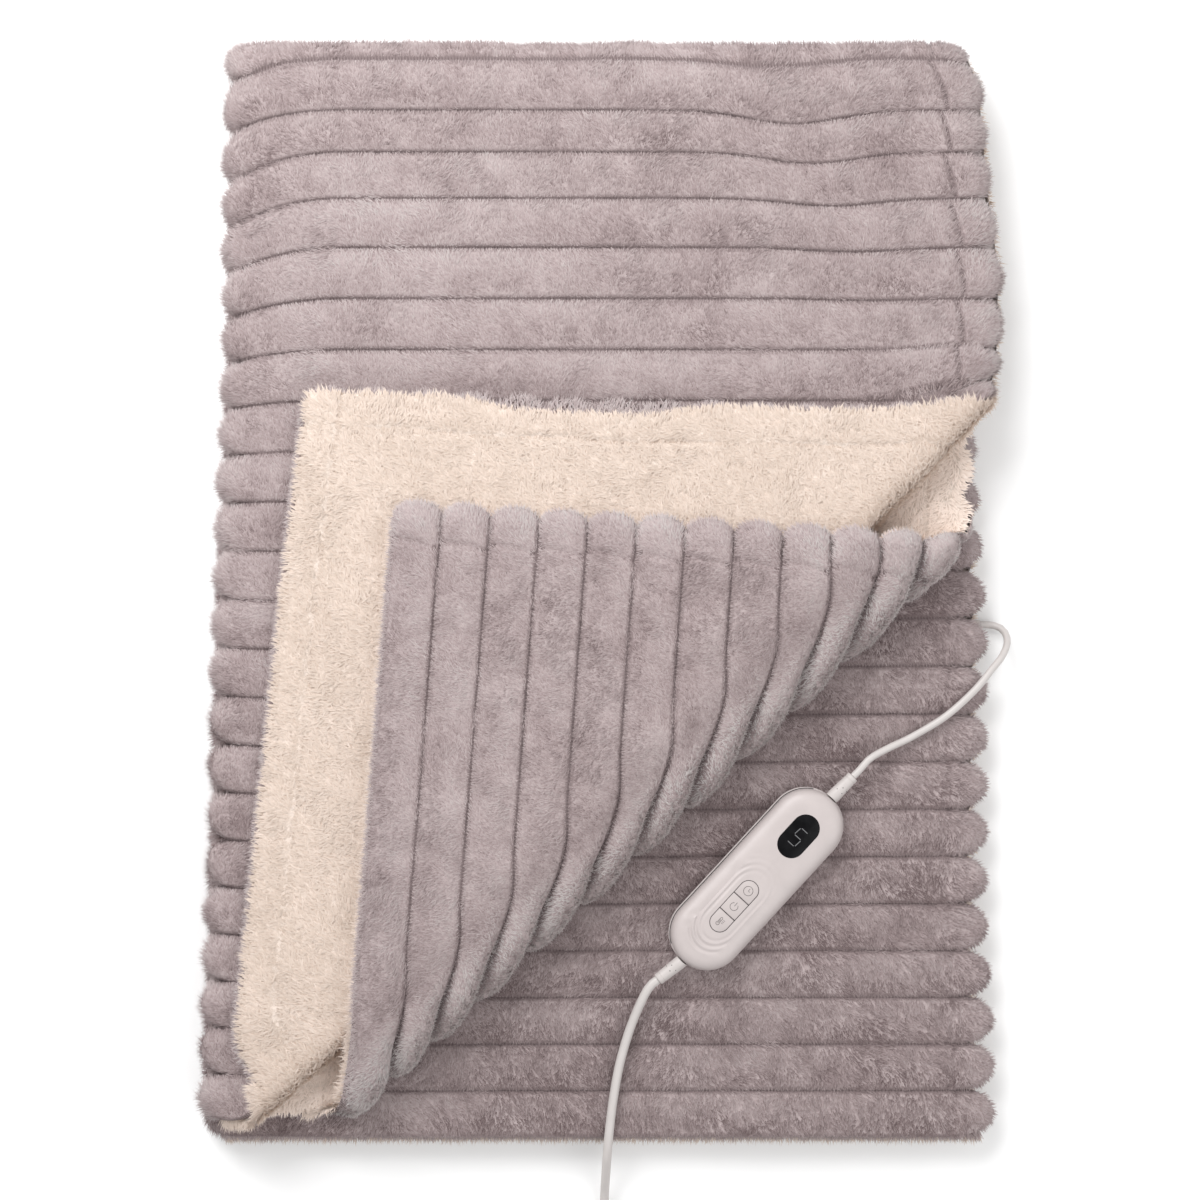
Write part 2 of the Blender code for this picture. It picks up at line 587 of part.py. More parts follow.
def pocket(body, name, length, width, at):
    """Cuts a pill-shaped pocket into the top of the upper shell."""
    outline = stadium(length, width)
    floor, above = CONTROL_HEIGHT - POCKET_DEPTH, CONTROL_HEIGHT + 0.005
    rings = [[(x, y, z) for x, y in outline] for z in (floor, above)]
    cutter = mesh_object(name, loft(rings), body.data.materials[0], controller_place(at))
    cutter.hide_render = True
    cutter.display_type = "WIRE"
    hollow = body.modifiers.new(name, "BOOLEAN")
    hollow.operation = "DIFFERENCE"
    hollow.solver = "EXACT"
    hollow.object = cutter


def inlay(name, outline, at, top, made_of):
    """A flat piece in a pocket, standing on its floor."""
    rings = [[(x, y, z) for x, y in outline] for z in (CONTROL_HEIGHT - POCKET_DEPTH + FIT_GAP, top)]
    mesh_object(name, loft(rings), made_of, controller_place(at))


def key_outlines():
    """The key field's outline cut across into an upper, a middle and a lower key."""
    split = KEY_LENGTH / 2
    field = stadium(KEYS_LENGTH, KEYS_WIDTH, FIT_GAP)
    half = KEYS_WIDTH / 2 - FIT_GAP
    right = [point for point in field if point[0] > split]
    left = [point for point in field if point[0] < -split]
    upper = [(split + KEY_GAP, -half), *right, (split + KEY_GAP, half)]
    lower = [(-split - KEY_GAP, half), *left, (-split - KEY_GAP, -half)]
    middle = [(-split, -half), (split, -half), (split, half), (-split, half)]
    return {"key_upper": upper, "key_middle": middle, "key_lower": lower}


def add_controller():
    housing = material("housing", (0.80, 0.76, 0.74), 0.45)
    key_face = material("key_face", (0.80, 0.76, 0.74), 0.5)
    window = material("window", (0.004, 0.004, 0.005), 0.12)
    shell("controller_lower_shell", LOWER_SHELL, housing)
    upper = shell("controller_upper_shell", UPPER_SHELL, housing)
    pocket(upper, "display_pocket", DISPLAY_LENGTH, DISPLAY_WIDTH, DISPLAY_AT)
    pocket(upper, "key_pocket", KEYS_LENGTH, KEYS_WIDTH, KEYS_AT)
    lens = stadium(DISPLAY_LENGTH, DISPLAY_WIDTH, FIT_GAP)
    inlay("display_lens", lens, DISPLAY_AT, CONTROL_HEIGHT, window)
    for name, outline in key_outlines().items():
        inlay(name, outline, KEYS_AT, CONTROL_HEIGHT + KEY_RISE, key_face)


def round_ring(x, radius, sides, squash=1.0):
    ring = []
    for k in range(sides):
        angle = 2 * math.pi * k / sides
        ring.append((x, radius * math.cos(angle), squash * radius * math.sin(angle)))
    return ring


def add_relief(name, end, turn, made_of):
    """A tapered sleeve whose root follows the round end of the controller."""
    slant = turn - CONTROL_TURN - (0.0 if end > 0 else math.pi)
    curve = CONTROL_WIDTH / 2
    root = []
    for x, y, z in round_ring(0.0, RELIEF_ROOT, RELIEF_SIDES):
        off = y - curve * math.sin(slant)
        reach = math.sqrt((curve + FIT_GAP) ** 2 - off ** 2)
        root.append((reach - curve * math.cos(slant), y, z))
    rings = [root] + [round_ring(x, radius, RELIEF_SIDES) for x, radius in RELIEF_SHAPE]
    exit_point = (controller_place(end * CONTROL_LENGTH / 2, RELIEF_Z)).translation
    place = Matrix.Translation(exit_point) @ Matrix.Rotation(turn, 4, "Z")
    mesh_object(name, loft(rings), made_of, place)


# ================================================================ leads
def smooth_route(route, diameter):
    """Points at the lead's steps on a smooth curve through the route's points."""
    points = [Vector(point) for point in route]
    points = [2 * points[0] - points[1], *points, 2 * points[-1] - points[-2]]
    dense = []
    for before, a, b, after in zip(points, points[1:], points[2:], points[3:]):
        for k in range(12):
            t = k / 12
            bend = (2 * before - 5 * a + 4 * b - after) * t ** 2 + (3 * a - 3 * b + after - before) * t ** 3
            dense.append((2 * a + (b - before) * t + bend) / 2)
    dense = np.array([*dense, points[-2]])
    lengths = np.linalg.norm(np.diff(dense, axis=0), axis=1)
    run = np.concatenate(([0.0], np.cumsum(lengths)))
    end = LEAD_END_STEP * diameter
    count = round(run[-1] / (LEAD_POINT_STEP * diameter)) + 1
    places = [0.0, *np.linspace(end, run[-1] - end, count), run[-1]]
    return np.stack([np.interp(places, run, dense[:, axis]) for axis in range(3)], axis=1)


def add_lead(name, route, diameter, resolution, made_of):
    points = smooth_route(route, diameter)
    curve = bpy.data.curves.new(name, "CURVE")
    curve.dimensions = "3D"
    curve.bevel_depth = diameter / 2
    curve.bevel_resolution = resolution
    curve.use_fill_caps = True
    spline = curve.splines.new("POLY")
    spline.points.add(len(points) - 1)
    for point, place in zip(spline.points, points):
        point.co = (*place, 1.0)
        point.radius = 1.0
    curve.materials.append(made_of)
    bpy.context.collection.objects.link(bpy.data.objects.new(name, curve))


def add_coil(made_of):
    """The outer shape of the coiled lead: a ring with rounded corners."""
    corner = MAINS_DIAMETER / 2
    half_wide = COIL_WIDE * corner - corner
    half_high = COIL_HIGH * corner - corner
    section = []
    for a, b, start in ((1, -1, -90), (1, 1, 0), (-1, 1, 90), (-1, -1, 180)):
        for k in range(3):
            angle = math.radians(start + 45 * k)
            section.append((a * half_wide + corner * math.cos(angle), b * half_high + corner * math.sin(angle)))
    bm = bmesh.new()
    rings = []
    for step in range(COIL_STEPS):
        angle = 2 * math.pi * step / COIL_STEPS
        ring = []
        for out, up in section:
            reach = COIL_RADIUS + out
            ring.append(bm.verts.new((reach * math.cos(angle), reach * math.sin(angle), up)))
        rings.append(ring)
    for i in range(COIL_STEPS):
        for j in range(len(section)):
            bm.faces.new((rings[i - 1][j - 1], rings[i][j - 1], rings[i][j], rings[i - 1][j]))
    bmesh.ops.recalc_face_normals(bm, faces=bm.faces[:])
    place = Matrix.Translation((COIL_X, COIL_Y, COIL_BOTTOM + COIL_HIGH * corner))
    mesh_object("mains_coil", bm, made_of, place)


def add_plug(made_of):
    steel = material("pin", (0.62, 0.62, 0.60), 0.25, metallic=1.0)
    rings = [round_ring(x, width, PLUG_SIDES, height / width) for x, width, height in PLUG_SHAPE]
    place = Matrix.Translation((PLUG_X, TAIL_Y, PLUG_Z))
    mesh_object("plug_body", loft(rings), made_of, place)
    start = PLUG_SHAPE[-1][0] + FIT_GAP
    pin = [round_ring(start + x, radius, 10) for x, radius in (
        (0.0, PIN_RADIUS), (PIN_LENGTH - 0.0010, PIN_RADIUS), (PIN_LENGTH, PIN_RADIUS - 0.0008)
    )]
    for name, side in (("plug_pin_left", 1), ("plug_pin_right", -1)):
        shifted = place @ Matrix.Translation((0.0, side * PIN_SPACING / 2, 0.0))
        mesh_object(name, loft(pin), steel, shifted)


def add_leads():
    cord = material("cord", (0.80, 0.77, 0.75), 0.45)
    fitting = material("fitting", (0.80, 0.77, 0.75), 0.5)
    add_relief("relief_mains_side", -1, MAINS_RELIEF_TURN, fitting)
    add_relief("relief_blanket_side", 1, THIN_RELIEF_TURN, fitting)
    add_lead("mains_lead", MAINS_ROUTE, MAINS_DIAMETER, 3, cord)
    add_lead("blanket_lead", THIN_ROUTE, THIN_DIAMETER, 2, cord)
    gland = [round_ring(x, radius, RELIEF_SIDES) for x, radius in GLAND_SHAPE]
    mesh_object("hem_gland", loft(gland), fitting, Matrix.Translation((GLAND_X, GLAND_Y, GLAND_Z)))
    add_coil(cord)
    add_lead("mains_tail", TAIL_ROUTE, MAINS_DIAMETER, 3, cord)
    add_plug(fitting)


# ================================================================ objects and materials
def material(name, colour, roughness, metallic=0.0):
    made = bpy.data.materials.new(name)
    made.use_nodes = True
    shader = made.node_tree.nodes["Principled BSDF"]
    shader.inputs["Base Color"].default_value = (*colour, 1.0)
    shader.inputs["Roughness"].default_value = roughness
    shader.inputs["Metallic"].default_value = metallic
    return made


def mesh_object(name, bm, made_of, place=None, smooth_angle=30):
    mesh = bpy.data.meshes.new(name)
    bm.to_mesh(mesh)
    bm.free()
    mesh.shade_smooth()
    mesh.set_sharp_from_angle(angle=math.radians(smooth_angle))
    mesh.materials.append(made_of)
    made = bpy.data.objects.new(name, mesh)
    if place:
        made.matrix_world = place
    bpy.context.collection.objects.link(made)
    return made


def main():
    for old in list(bpy.data.objects):
        bpy.data.objects.remove(old, do_unlink=True)
    add_throw()
    add_controller()
    add_leads()


main()
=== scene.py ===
"""Looks of a folded electric heated throw with its hand controller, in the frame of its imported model.

Cloth coordinates: u runs along the ribs from the left fold (u = 0), v runs across them from the top
roll (v = 0), and w is the distance from the middle of the folded pair out towards the plush.
Metres, +Z up.
"""

import math

import bmesh
import bpy
import numpy as np
from mathutils import Matrix, Vector
from mathutils.bvhtree import BVHTree

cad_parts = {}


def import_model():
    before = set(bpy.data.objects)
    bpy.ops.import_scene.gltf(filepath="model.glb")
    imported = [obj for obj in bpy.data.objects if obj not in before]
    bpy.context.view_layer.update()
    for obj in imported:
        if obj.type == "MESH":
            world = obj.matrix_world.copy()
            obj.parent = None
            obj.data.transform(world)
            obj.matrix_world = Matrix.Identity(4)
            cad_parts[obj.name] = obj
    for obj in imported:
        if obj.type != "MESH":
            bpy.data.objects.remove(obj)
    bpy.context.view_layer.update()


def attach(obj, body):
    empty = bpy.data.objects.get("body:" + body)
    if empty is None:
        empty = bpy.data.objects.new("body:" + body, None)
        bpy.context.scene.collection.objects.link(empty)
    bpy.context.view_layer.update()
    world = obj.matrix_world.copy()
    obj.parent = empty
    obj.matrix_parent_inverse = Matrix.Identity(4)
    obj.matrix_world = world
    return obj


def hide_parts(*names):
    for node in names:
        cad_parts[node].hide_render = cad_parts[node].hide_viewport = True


# ---------------------------------------------------------------- throw and its folds, as in the solids
THROW_WIDTH = 1.30
THROW_LENGTH = 1.80
RIB_COUNT = 45
RIB_PITCH = THROW_LENGTH / RIB_COUNT
HALF_WIDTH = THROW_WIDTH / 2
HALF_LENGTH = THROW_LENGTH / 2
SHERPA_THICK = 0.006
SHERPA_HEM = 0.003
PLUSH_PRESSED = 0.008
PLUSH_CREST = 0.013
PANEL_GAP = 0.0003
LAYER_GAP = 0.001
SHERPA_W = LAYER_GAP / 2
JOIN_W = SHERPA_W + SHERPA_THICK
PLUSH_W = JOIN_W + PANEL_GAP
PRESSED_W = PLUSH_W + PLUSH_PRESSED
SIDE_RADIUS = 0.010
FOLD_REACH = SIDE_RADIUS * math.pi / 2
ROLL_RADIUS = PRESSED_W + LAYER_GAP / 2
LOWER_PAIR_Z = PRESSED_W
ROLL_Z = LOWER_PAIR_Z + ROLL_RADIUS
UPPER_PAIR_Z = ROLL_Z + ROLL_RADIUS
UPPER_TOP_Z = UPPER_PAIR_Z + PRESSED_W
ROLL_REACH = 0.0285
CORNER_REACH_DROP = 0.014
CORNER_SINK = 0.020
CORNER_LENGTH = 0.26
UPPER_LIFT = 0.0095
LOWER_LIFT = -0.0105
LIFT_LENGTH = 0.10
TOP_LINE = (math.radians(43.9), 0.6290)
UNDER_LINE = (math.radians(43.3), 0.6741)
TURN_Z = UPPER_TOP_Z + LAYER_GAP / 2
TOP_TURN_RADIUS = TURN_Z - UPPER_PAIR_Z - JOIN_W
TOP_TURN = math.pi * TOP_TURN_RADIUS
UPPER_DOWN = HALF_LENGTH - ROLL_REACH - UPPER_LIFT
NOSE_RADIUS = 0.0145
NOSE_SLOPE = math.radians(24)
EASE_RADIUS = 0.05
LOOSE_GAP = 0.003
FLAP_JOIN_Z = TURN_Z + (TURN_Z - UPPER_PAIR_Z - SHERPA_W) + LOOSE_GAP + SHERPA_THICK
UNDER_JOIN_Z = UPPER_PAIR_Z - JOIN_W
UNDER_SLACK = 0.019
SLACK_WIDTH = 0.06
FOLD_X = -0.3034
ROLL_Y = 0.4241
SPAN = HALF_WIDTH - FOLD_REACH
LEFT_SIDE = ((0.0, 0.0090), (0.22, 0.0090), (0.42, 0.0005), (0.60, -0.0040), (0.80, -0.0100))
TOP_RIGHT = ((-0.03, -0.027), (0.01, -0.014), (0.09, -0.0070), (0.16, 0.0025), (0.30, 0.0))
UNDER_RIGHT = ((-0.03, -0.020), (0.10, -0.012), (0.30, 0.0))
LOWER_RIGHT = ((-0.03, -0.020), (0.31, -0.0150), (0.46, -0.0060), (0.70, -0.0060), (0.80, 0.0))
FLOOR_RIGHT = ((-0.03, -0.027), (0.20, -0.0240), (0.90, -0.0240))
ROW_SAG_FROM, ROW_SAG_TO = 0.13, 0.90
TOP_ROW_SAG = 0.0135
LOWER_ROW_SAG = 0.0065
DIP_U, DIP_LEAN, DIP_WIDTH = 0.46, 0.36, 0.055
DIP_DEPTH, DIP_LENGTH = 0.012, 0.13
FLAP_LEAN, LEAN_FROM = 0.042, 0.263
LEAN_EASE = 0.04
SAG_EASE = 0.10
FLAP_EDGE_SAG = 0.009
PRESSED_MARGIN = 0.014
NOSE_FREE = (0.4, 1.2)
LOWER_FREE = (0.018, 0.038)

# ---------------------------------------------------------------- finer shape of the cloth
BEND_WIDTH = 0.100            # distance from the left fold in which the seams bend down to it
BACKING_CREST = 0.0106        # height of a free rib's fabric, below the tips of its pile
FLAT_SEAM = 0.0078            # height of the fabric at a seam of a flat rib
TURNED_SEAM = 0.0008          # and where the rib turns round a fold
FLAT_SQUARENESS = 3.0         # of a flat rib's profile, 2 being round
TURNED_SQUARENESS = 1.8
RIB_PHASES = (0.0, 0.022, 0.06, 0.14, 0.30, 0.50, 0.70, 0.86, 0.94, 0.978)
SCALLOP = 0.0115              # depth of the notches between the ribs' ends
DEEP_SCALLOP = 0.0235         # and on the half that lies outside at the right
SCALLOP_WIDTH = 0.056
HEM_ROUND = 0.016
HEM_SEAM_AT = 0.034           # distance of the hem's stitching from the ribs' ends
HEM_SEAM_WAVE = 0.007
LOWER_HEM_SEAM = 0.3          # how strongly it shows in the lower pair
UNDER_HEM_SEAM = 0.55         # and in the under layer, against the top one
HEM_SEAM_WIDTH = 0.0020
HEM_SEAM_DEPTH = 0.0032
SHERPA_INSET = 0.003
SHERPA_PEEK = 0.010           # more inset where the ribs' ends show past the fleece
PEEK_AT, PEEK_WIDTH = 0.665, 0.115
END_INSET = 0.0035
NOSE_SLIDE = 0.034            # how far the cloth slips along the lower crease
SLIDE_WIDTH = 0.062
NOSE_PUFF = 0.0045            # how far the ribs bulge where they turn over the lower crease
LOBE_REACH = 0.0075           # how far their lower corners hang out over it
LOBE_BEFORE, LOBE_PAST = 0.030, 0.050
SLIDE_BEFORE = 0.070
SLIDE_EDGE = 0.130
SIDE_PINCH = 0.0075           # how far the seams draw the left fold in
PINCH_WIDTH = 0.045
SHERPA_SEAM_AT = 0.031
CORNER_RISE, CORNER_DOWN = 0.018, 0.277   # how far the top layer's crease turns up at its right end
CORNER_ACROSS, CORNER_ALONG = 0.075, 0.050
CREASE_PULL, PULL_AT = 0.0155, 0.15       # how far it is drawn in before its end, and where
PULL_ALONG, PULL_ACROSS = 0.11, 0.060
CREASE_SHARE = 0.05           # width beside the crease in which the layer's body follows it
LUMPS = ((0.060, 0.0010), (0.022, 0.0009), (0.009, 0.0004))   # size, height of the ribs' unevenness
TUFTS = ((0.013, 0.0013), (0.0065, 0.0011))                   # size, height of the fleece's tufts
LOWER_CORNER = 0.86           # phase of a rib's lower corner, which hangs out furthest
NOSE_FROM, NOSE_TO, NOSE_FADE = 0.9, 5.0, 2.8    # how the lower crease's turn fades in and out, in radii
HEM_REACH = 0.04              # distance from the hem in which the ribs' ends turn down
HEM_SHARE = 0.8               # of a full turn there
PILE_PRESSED = 0.0015         # how much lower the fabric lies than the pressed pile
LEAST_RIB = 0.001             # least height of a rib over its seams
TUFT_ROOM = 0.0008            # kept free for the tufts over the fleece's fabric
STITCH_DEPTH, STITCH_WIDTH = 0.0022, 0.0022   # of the stitching inside the fleece's edges
STITCH_WAVE, STITCH_WAVES = 0.002, 0.05       # how far it wanders, and over what length
END_SHRINK = 0.02             # distance from the end rows in which the fleece is drawn in
SEEN_FROM = 0.20              # row from which the fleece is seen
SHERPA_STEP, HIDDEN_STEP = 0.0052, 0.0085
HEM_STRIP = 0.048             # width of the fine columns beside the hem
LATTICE = 256                 # cells of a random field before it repeats
UP = np.array([0.0, 0.0, 1.0])


# ================================================================ helpers
def smooth(x):
    x = np.clip(x, 0.0, 1.0)
    return x * x * (3.0 - 2.0 * x)


def from_table(rows, x):
    return np.interp(x, [row[0] for row in rows], [row[1] for row in rows])


def noise(x, y, size, seed):
    """Smooth random hills of about one size, from -1 to 1."""
    lattice = np.random.default_rng(seed).uniform(-1.0, 1.0, (LATTICE, LATTICE))
    a = (0.866 * x - 0.5 * y) / size + 17.3
    b = (0.5 * x + 0.866 * y) / size + 41.7
    i, j = np.floor(a).astype(int), np.floor(b).astype(int)
    s, t = smooth(a - i), smooth(b - j)
    i, j, k, m = i % LATTICE, j % LATTICE, (i + 1) % LATTICE, (j + 1) % LATTICE
    low = lattice[i, j] * (1 - s) + lattice[k, j] * s
    high = lattice[i, m] * (1 - s) + lattice[k, m] * s
    return low * (1 - t) + high * t


def unit(vectors):
    return vectors / np.maximum(np.linalg.norm(vectors, axis=-1, keepdims=True), 1e-9)


def column(values):
    return values[:, None]


def faded(distance, reach):
    """1 at a distance of 0, falling to 0 at the reach, flat there."""
    return np.clip(1.0 - distance / reach, 0.0, 1.0) ** 2


def hill(x):
    """1 at 0, falling off smoothly on both sides."""
    return np.exp(-(x ** 2))


def from_hem(u):
    return HALF_WIDTH - np.abs(u)


def from_end(v):
    return HALF_LENGTH - np.abs(v)


# ================================================================ folding
def follow(sections, run, out):
    """A point on a path that starts along +a at height 0 and turns upwards, out off its outer side."""
    along = np.minimum(run, 0.0)
    height = np.zeros_like(along)
    heading = np.zeros_like(along)
    for length, radius in sections:
        step = np.clip(run, 0.0, length)
        if radius:
            after = heading + step / radius
            along = along + radius * (np.sin(after) - np.sin(heading))
            height = height + radius * (np.cos(heading) - np.cos(after))
            heading = after
        else:
            along = along + step * np.cos(heading)
            height = height + step * np.sin(heading)
        run = run - length
    beyond = np.maximum(run, 0.0)
    along = along + beyond * np.cos(heading)
    height = height + beyond * np.sin(heading)
    return along + out * np.sin(heading), height - out * np.cos(heading)


def nose_path():
    level = EASE_RADIUS * (1.0 - math.cos(NOSE_SLOPE))
    rise = FLAP_JOIN_Z - UNDER_JOIN_Z - level - NOSE_RADIUS * (1.0 + math.cos(NOSE_SLOPE))
    return (
        ((math.pi - NOSE_SLOPE) * NOSE_RADIUS, NOSE_RADIUS),
        (rise / math.sin(NOSE_SLOPE), 0.0),
        (NOSE_SLOPE * EASE_RADIUS, EASE_RADIUS),
    )


def beside_fold(u):
    """0 on the left fold, 1 away from it."""
    return 1.0 - faded(np.abs(u), BEND_WIDTH)


def near_roll(v):
    return hill(v / CORNER_LENGTH)


def roll_reach(u, v):
    return ROLL_REACH - CORNER_REACH_DROP * near_roll(v) * (1.0 - beside_fold(u))


def flat_place(u, v):
    right = np.maximum(np.abs(u) - FOLD_REACH, 0.0)
    down = np.maximum(np.abs(v) - roll_reach(u, v), 0.0)
    under = (u < 0) & (v > 0)
    taken = np.where(under, UNDER_SLACK, 0.0) * smooth(right / SLACK_WIDTH)
    lift = np.where(v > 0, UPPER_LIFT, LOWER_LIFT) * smooth(down / LIFT_LENGTH)
    sink = np.where(v > 0, CORNER_SINK, 0.0) * near_roll(v) * (1.0 - beside_fold(u))
    return right - taken, down - lift + sink * smooth(down / LIFT_LENGTH)


def past_line(line, right, down):
    angle, distance = line
    return math.sin(angle) * right + math.cos(angle) * down - distance


def moved_along_normal(line, right, down, by):
    angle = line[0]
    return right + by * math.sin(angle), down + by * math.cos(angle)


def fold_cloth(u, v, w):
    """The place in space of cloth points u, v at distance w from the middle of the pair."""
    side_run = u + FOLD_REACH
    along, height = follow(((math.pi * SIDE_RADIUS, SIDE_RADIUS),), side_run, w - SIDE_RADIUS)
    above = height - SIDE_RADIUS
    angle = np.clip(v / roll_reach(u, v), -1.0, 1.0) * math.pi / 2
    flat_right, flat_down = flat_place(u, v)
    right = flat_right - along - np.maximum(np.abs(u) - FOLD_REACH, 0.0)
    down = flat_down - (ROLL_RADIUS + above) * np.cos(angle)
    z = ROLL_Z + (ROLL_RADIUS + above) * np.sin(angle)
    flat = past_line(UNDER_LINE, right, down)
    by = slide(u, v, flat, np.minimum(SPAN - right, UPPER_DOWN - down))
    right, down, z, past = turn_back(u, v, right, down, z)
    right, down = right - by * math.cos(UNDER_LINE[0]), down + by * math.sin(UNDER_LINE[0])
    right, down = moved_along_normal(UNDER_LINE, right, down, lobe(u, v, flat))
    return uneven(u, v, right, down, z, past)


def slide(u, v, beyond, from_edge):
    """How far the under layer has slipped along its crease, which bends its seams there."""
    outline = NOSE_RADIUS * math.pi / 2
    on_top = faded(beyond - outline, SLIDE_WIDTH)
    share = np.where(beyond > outline, on_top, smooth(1.0 + beyond / SLIDE_BEFORE))
    return np.where((u < 0) & (v > 0), NOSE_SLIDE * share * smooth(from_edge / SLIDE_EDGE), 0.0)


def lobe(u, v, beyond):
    """How far a rib of the under layer hangs out over its crease, most at its lower corner."""
    phase = rib_phase(v)
    back = smooth((1.0 - phase) / (1.0 - LOWER_CORNER))
    reach = np.where(phase < LOWER_CORNER, phase / LOWER_CORNER, back) - 0.5
    off = beyond - NOSE_RADIUS * math.pi / 2
    near = smooth(1.0 - np.abs(off) / np.where(off < 0, LOBE_BEFORE, LOBE_PAST))
    return np.where((u < 0) & (v > 0), LOBE_REACH * reach * near, 0.0)


def turn_back(u, v, right, down, z):
    """Turns the corner of both layers of the upper pair up and back over itself."""
    past = np.zeros_like(right)
    turns = (
        (TOP_LINE, UPPER_PAIR_Z + JOIN_W, ((TOP_TURN, TOP_TURN_RADIUS),), u > 0),
        (UNDER_LINE, UNDER_JOIN_Z, nose_path(), u <= 0),
    )
    for line, join_z, path, side in turns:
        beyond = past_line(line, right, down)
        here = side & (v > 0) & (beyond > 0)
        along, height = follow(path, beyond, join_z - z)
        new_right, new_down = moved_along_normal(line, right, down, along - beyond)
        right = np.where(here, new_right, right)
        down = np.where(here, new_down, down)
        z = np.where(here, join_z + height, z)
        past = np.where(here, np.maximum(beyond - sum(row[0] for row in path), 0.0), past)
    return right, down, z, past


def uneven(u, v, right, down, z, past):
    """Moves the folded cloth in plan to where its edges, ribs and creases really run."""
    share = np.clip(right / SPAN, -0.05, 1.05)
    upper = np.where(u > 0, from_table(TOP_RIGHT, down), from_table(UNDER_RIGHT, down))
    lower = np.where(u > 0, from_table(FLOOR_RIGHT, down), from_table(LOWER_RIGHT, down))
    moved_right = np.where(v > 0, upper, lower) * share + from_table(LEFT_SIDE, down) * (1.0 - share)
    spread = np.clip((down - ROW_SAG_FROM) / (ROW_SAG_TO - ROW_SAG_FROM), 0.0, 1.0)
    top_sag = np.where(u > 0, TOP_ROW_SAG, 0.0)
    lower_sag = np.where(u > 0, 0.0, LOWER_ROW_SAG)
    beside = beside_fold(u)
    fold_sag = (1.0 - beside) * (TOP_ROW_SAG + LOWER_ROW_SAG) / 2
    row_sag = fold_sag + beside * np.where(v > 0, top_sag, lower_sag)
    moved_down = row_sag * np.sin(math.pi * spread) * (1.0 - smooth(past / SAG_EASE))
    from_dip = (right - DIP_U - DIP_LEAN * np.maximum(down, 0.0)) / DIP_WIDTH
    dip = DIP_DEPTH * hill(from_dip) * hill(down / DIP_LENGTH)
    moved_down = moved_down + np.where((u > 0) & (v > 0), dip * smooth(v / 0.04), 0.0)
    lean = FLAP_LEAN * (down - LEAN_FROM) * smooth(past / LEAN_EASE)
    moved_right = moved_right - np.where(u > 0, lean, 0.0) + side_pinch(u, v)
    top_right, top_down = crease_pull(right, down, z)
    top = (u > 0) & (v > 0)
    moved_right = moved_right + np.where(top, top_right, 0.0)
    moved_down = moved_down + np.where(top, top_down, 0.0)
    return FOLD_X + right + moved_right, ROLL_Y - down - moved_down, z


def crease_pull(right, down, z):
    """How the top layer's crease is drawn in and turned up at its right end."""
    angle = TOP_LINE[0]
    beyond = past_line(TOP_LINE, right, down)
    along = math.cos(angle) * right - math.sin(angle) * down
    follows = np.where(z > TURN_Z, 1.0, smooth(1.0 + beyond / CREASE_SHARE))
    corner = ((right - SPAN) / CORNER_ACROSS) ** 2 + ((down - CORNER_DOWN) / CORNER_ALONG) ** 2
    pull = ((along - PULL_AT) / PULL_ALONG) ** 2 + ((beyond - TOP_TURN_RADIUS) / PULL_ACROSS) ** 2
    pull = CREASE_PULL * np.exp(-pull) * follows
    return -pull * math.sin(angle), -pull * math.cos(angle) - CORNER_RISE * np.exp(-corner) * follows


def side_pinch(u, v):
    return SIDE_PINCH * off_crest(v) ** 4 * faded(np.abs(u), PINCH_WIDTH)


# ================================================================ thickness
def rib_phase(v):
    """0 and 1 at the seams beside a rib."""
    return np.mod(v / RIB_PITCH + RIB_COUNT / 2, 1.0)


def off_crest(v):
    """0 on a rib's crest, 1 at the seams beside it."""
    return np.abs(1.0 - 2.0 * rib_phase(v))


def rib_round(v, squareness):
    """0 at a seam, 1 over a rib's crest, steep beside the seam."""
    return np.maximum(1.0 - off_crest(v) ** squareness, 0.0) ** (1.0 / squareness)


def nose_share(u, v):
    """1 where the ribs turn over the lower crease."""
    right, down = flat_place(u, v)
    nose = past_line(UNDER_LINE, right, down) / NOSE_RADIUS
    return np.where((v > 0) & (u < 0), smooth(nose / NOSE_FROM) * smooth((NOSE_TO - nose) / NOSE_FADE), 0.0)


def turned_share(u, v):
    """1 where the ribs run round a fold or end at the hem, 0 where they lie flat."""
    nose = nose_share(u, v)
    side = np.cos(np.clip(u / (2 * SIDE_RADIUS), -math.pi / 2, math.pi / 2)) ** 2
    end = HEM_SHARE * smooth(1.0 - from_hem(u) / HEM_REACH)
    return np.maximum(np.maximum(nose, side), end)


def rounding(inside):
    """The share of its thickness that the cloth has at a distance inside its edge."""
    inside = np.clip(inside / HEM_ROUND, 0.0, 1.0)
    return np.sqrt(1.0 - (1.0 - inside) ** 2)


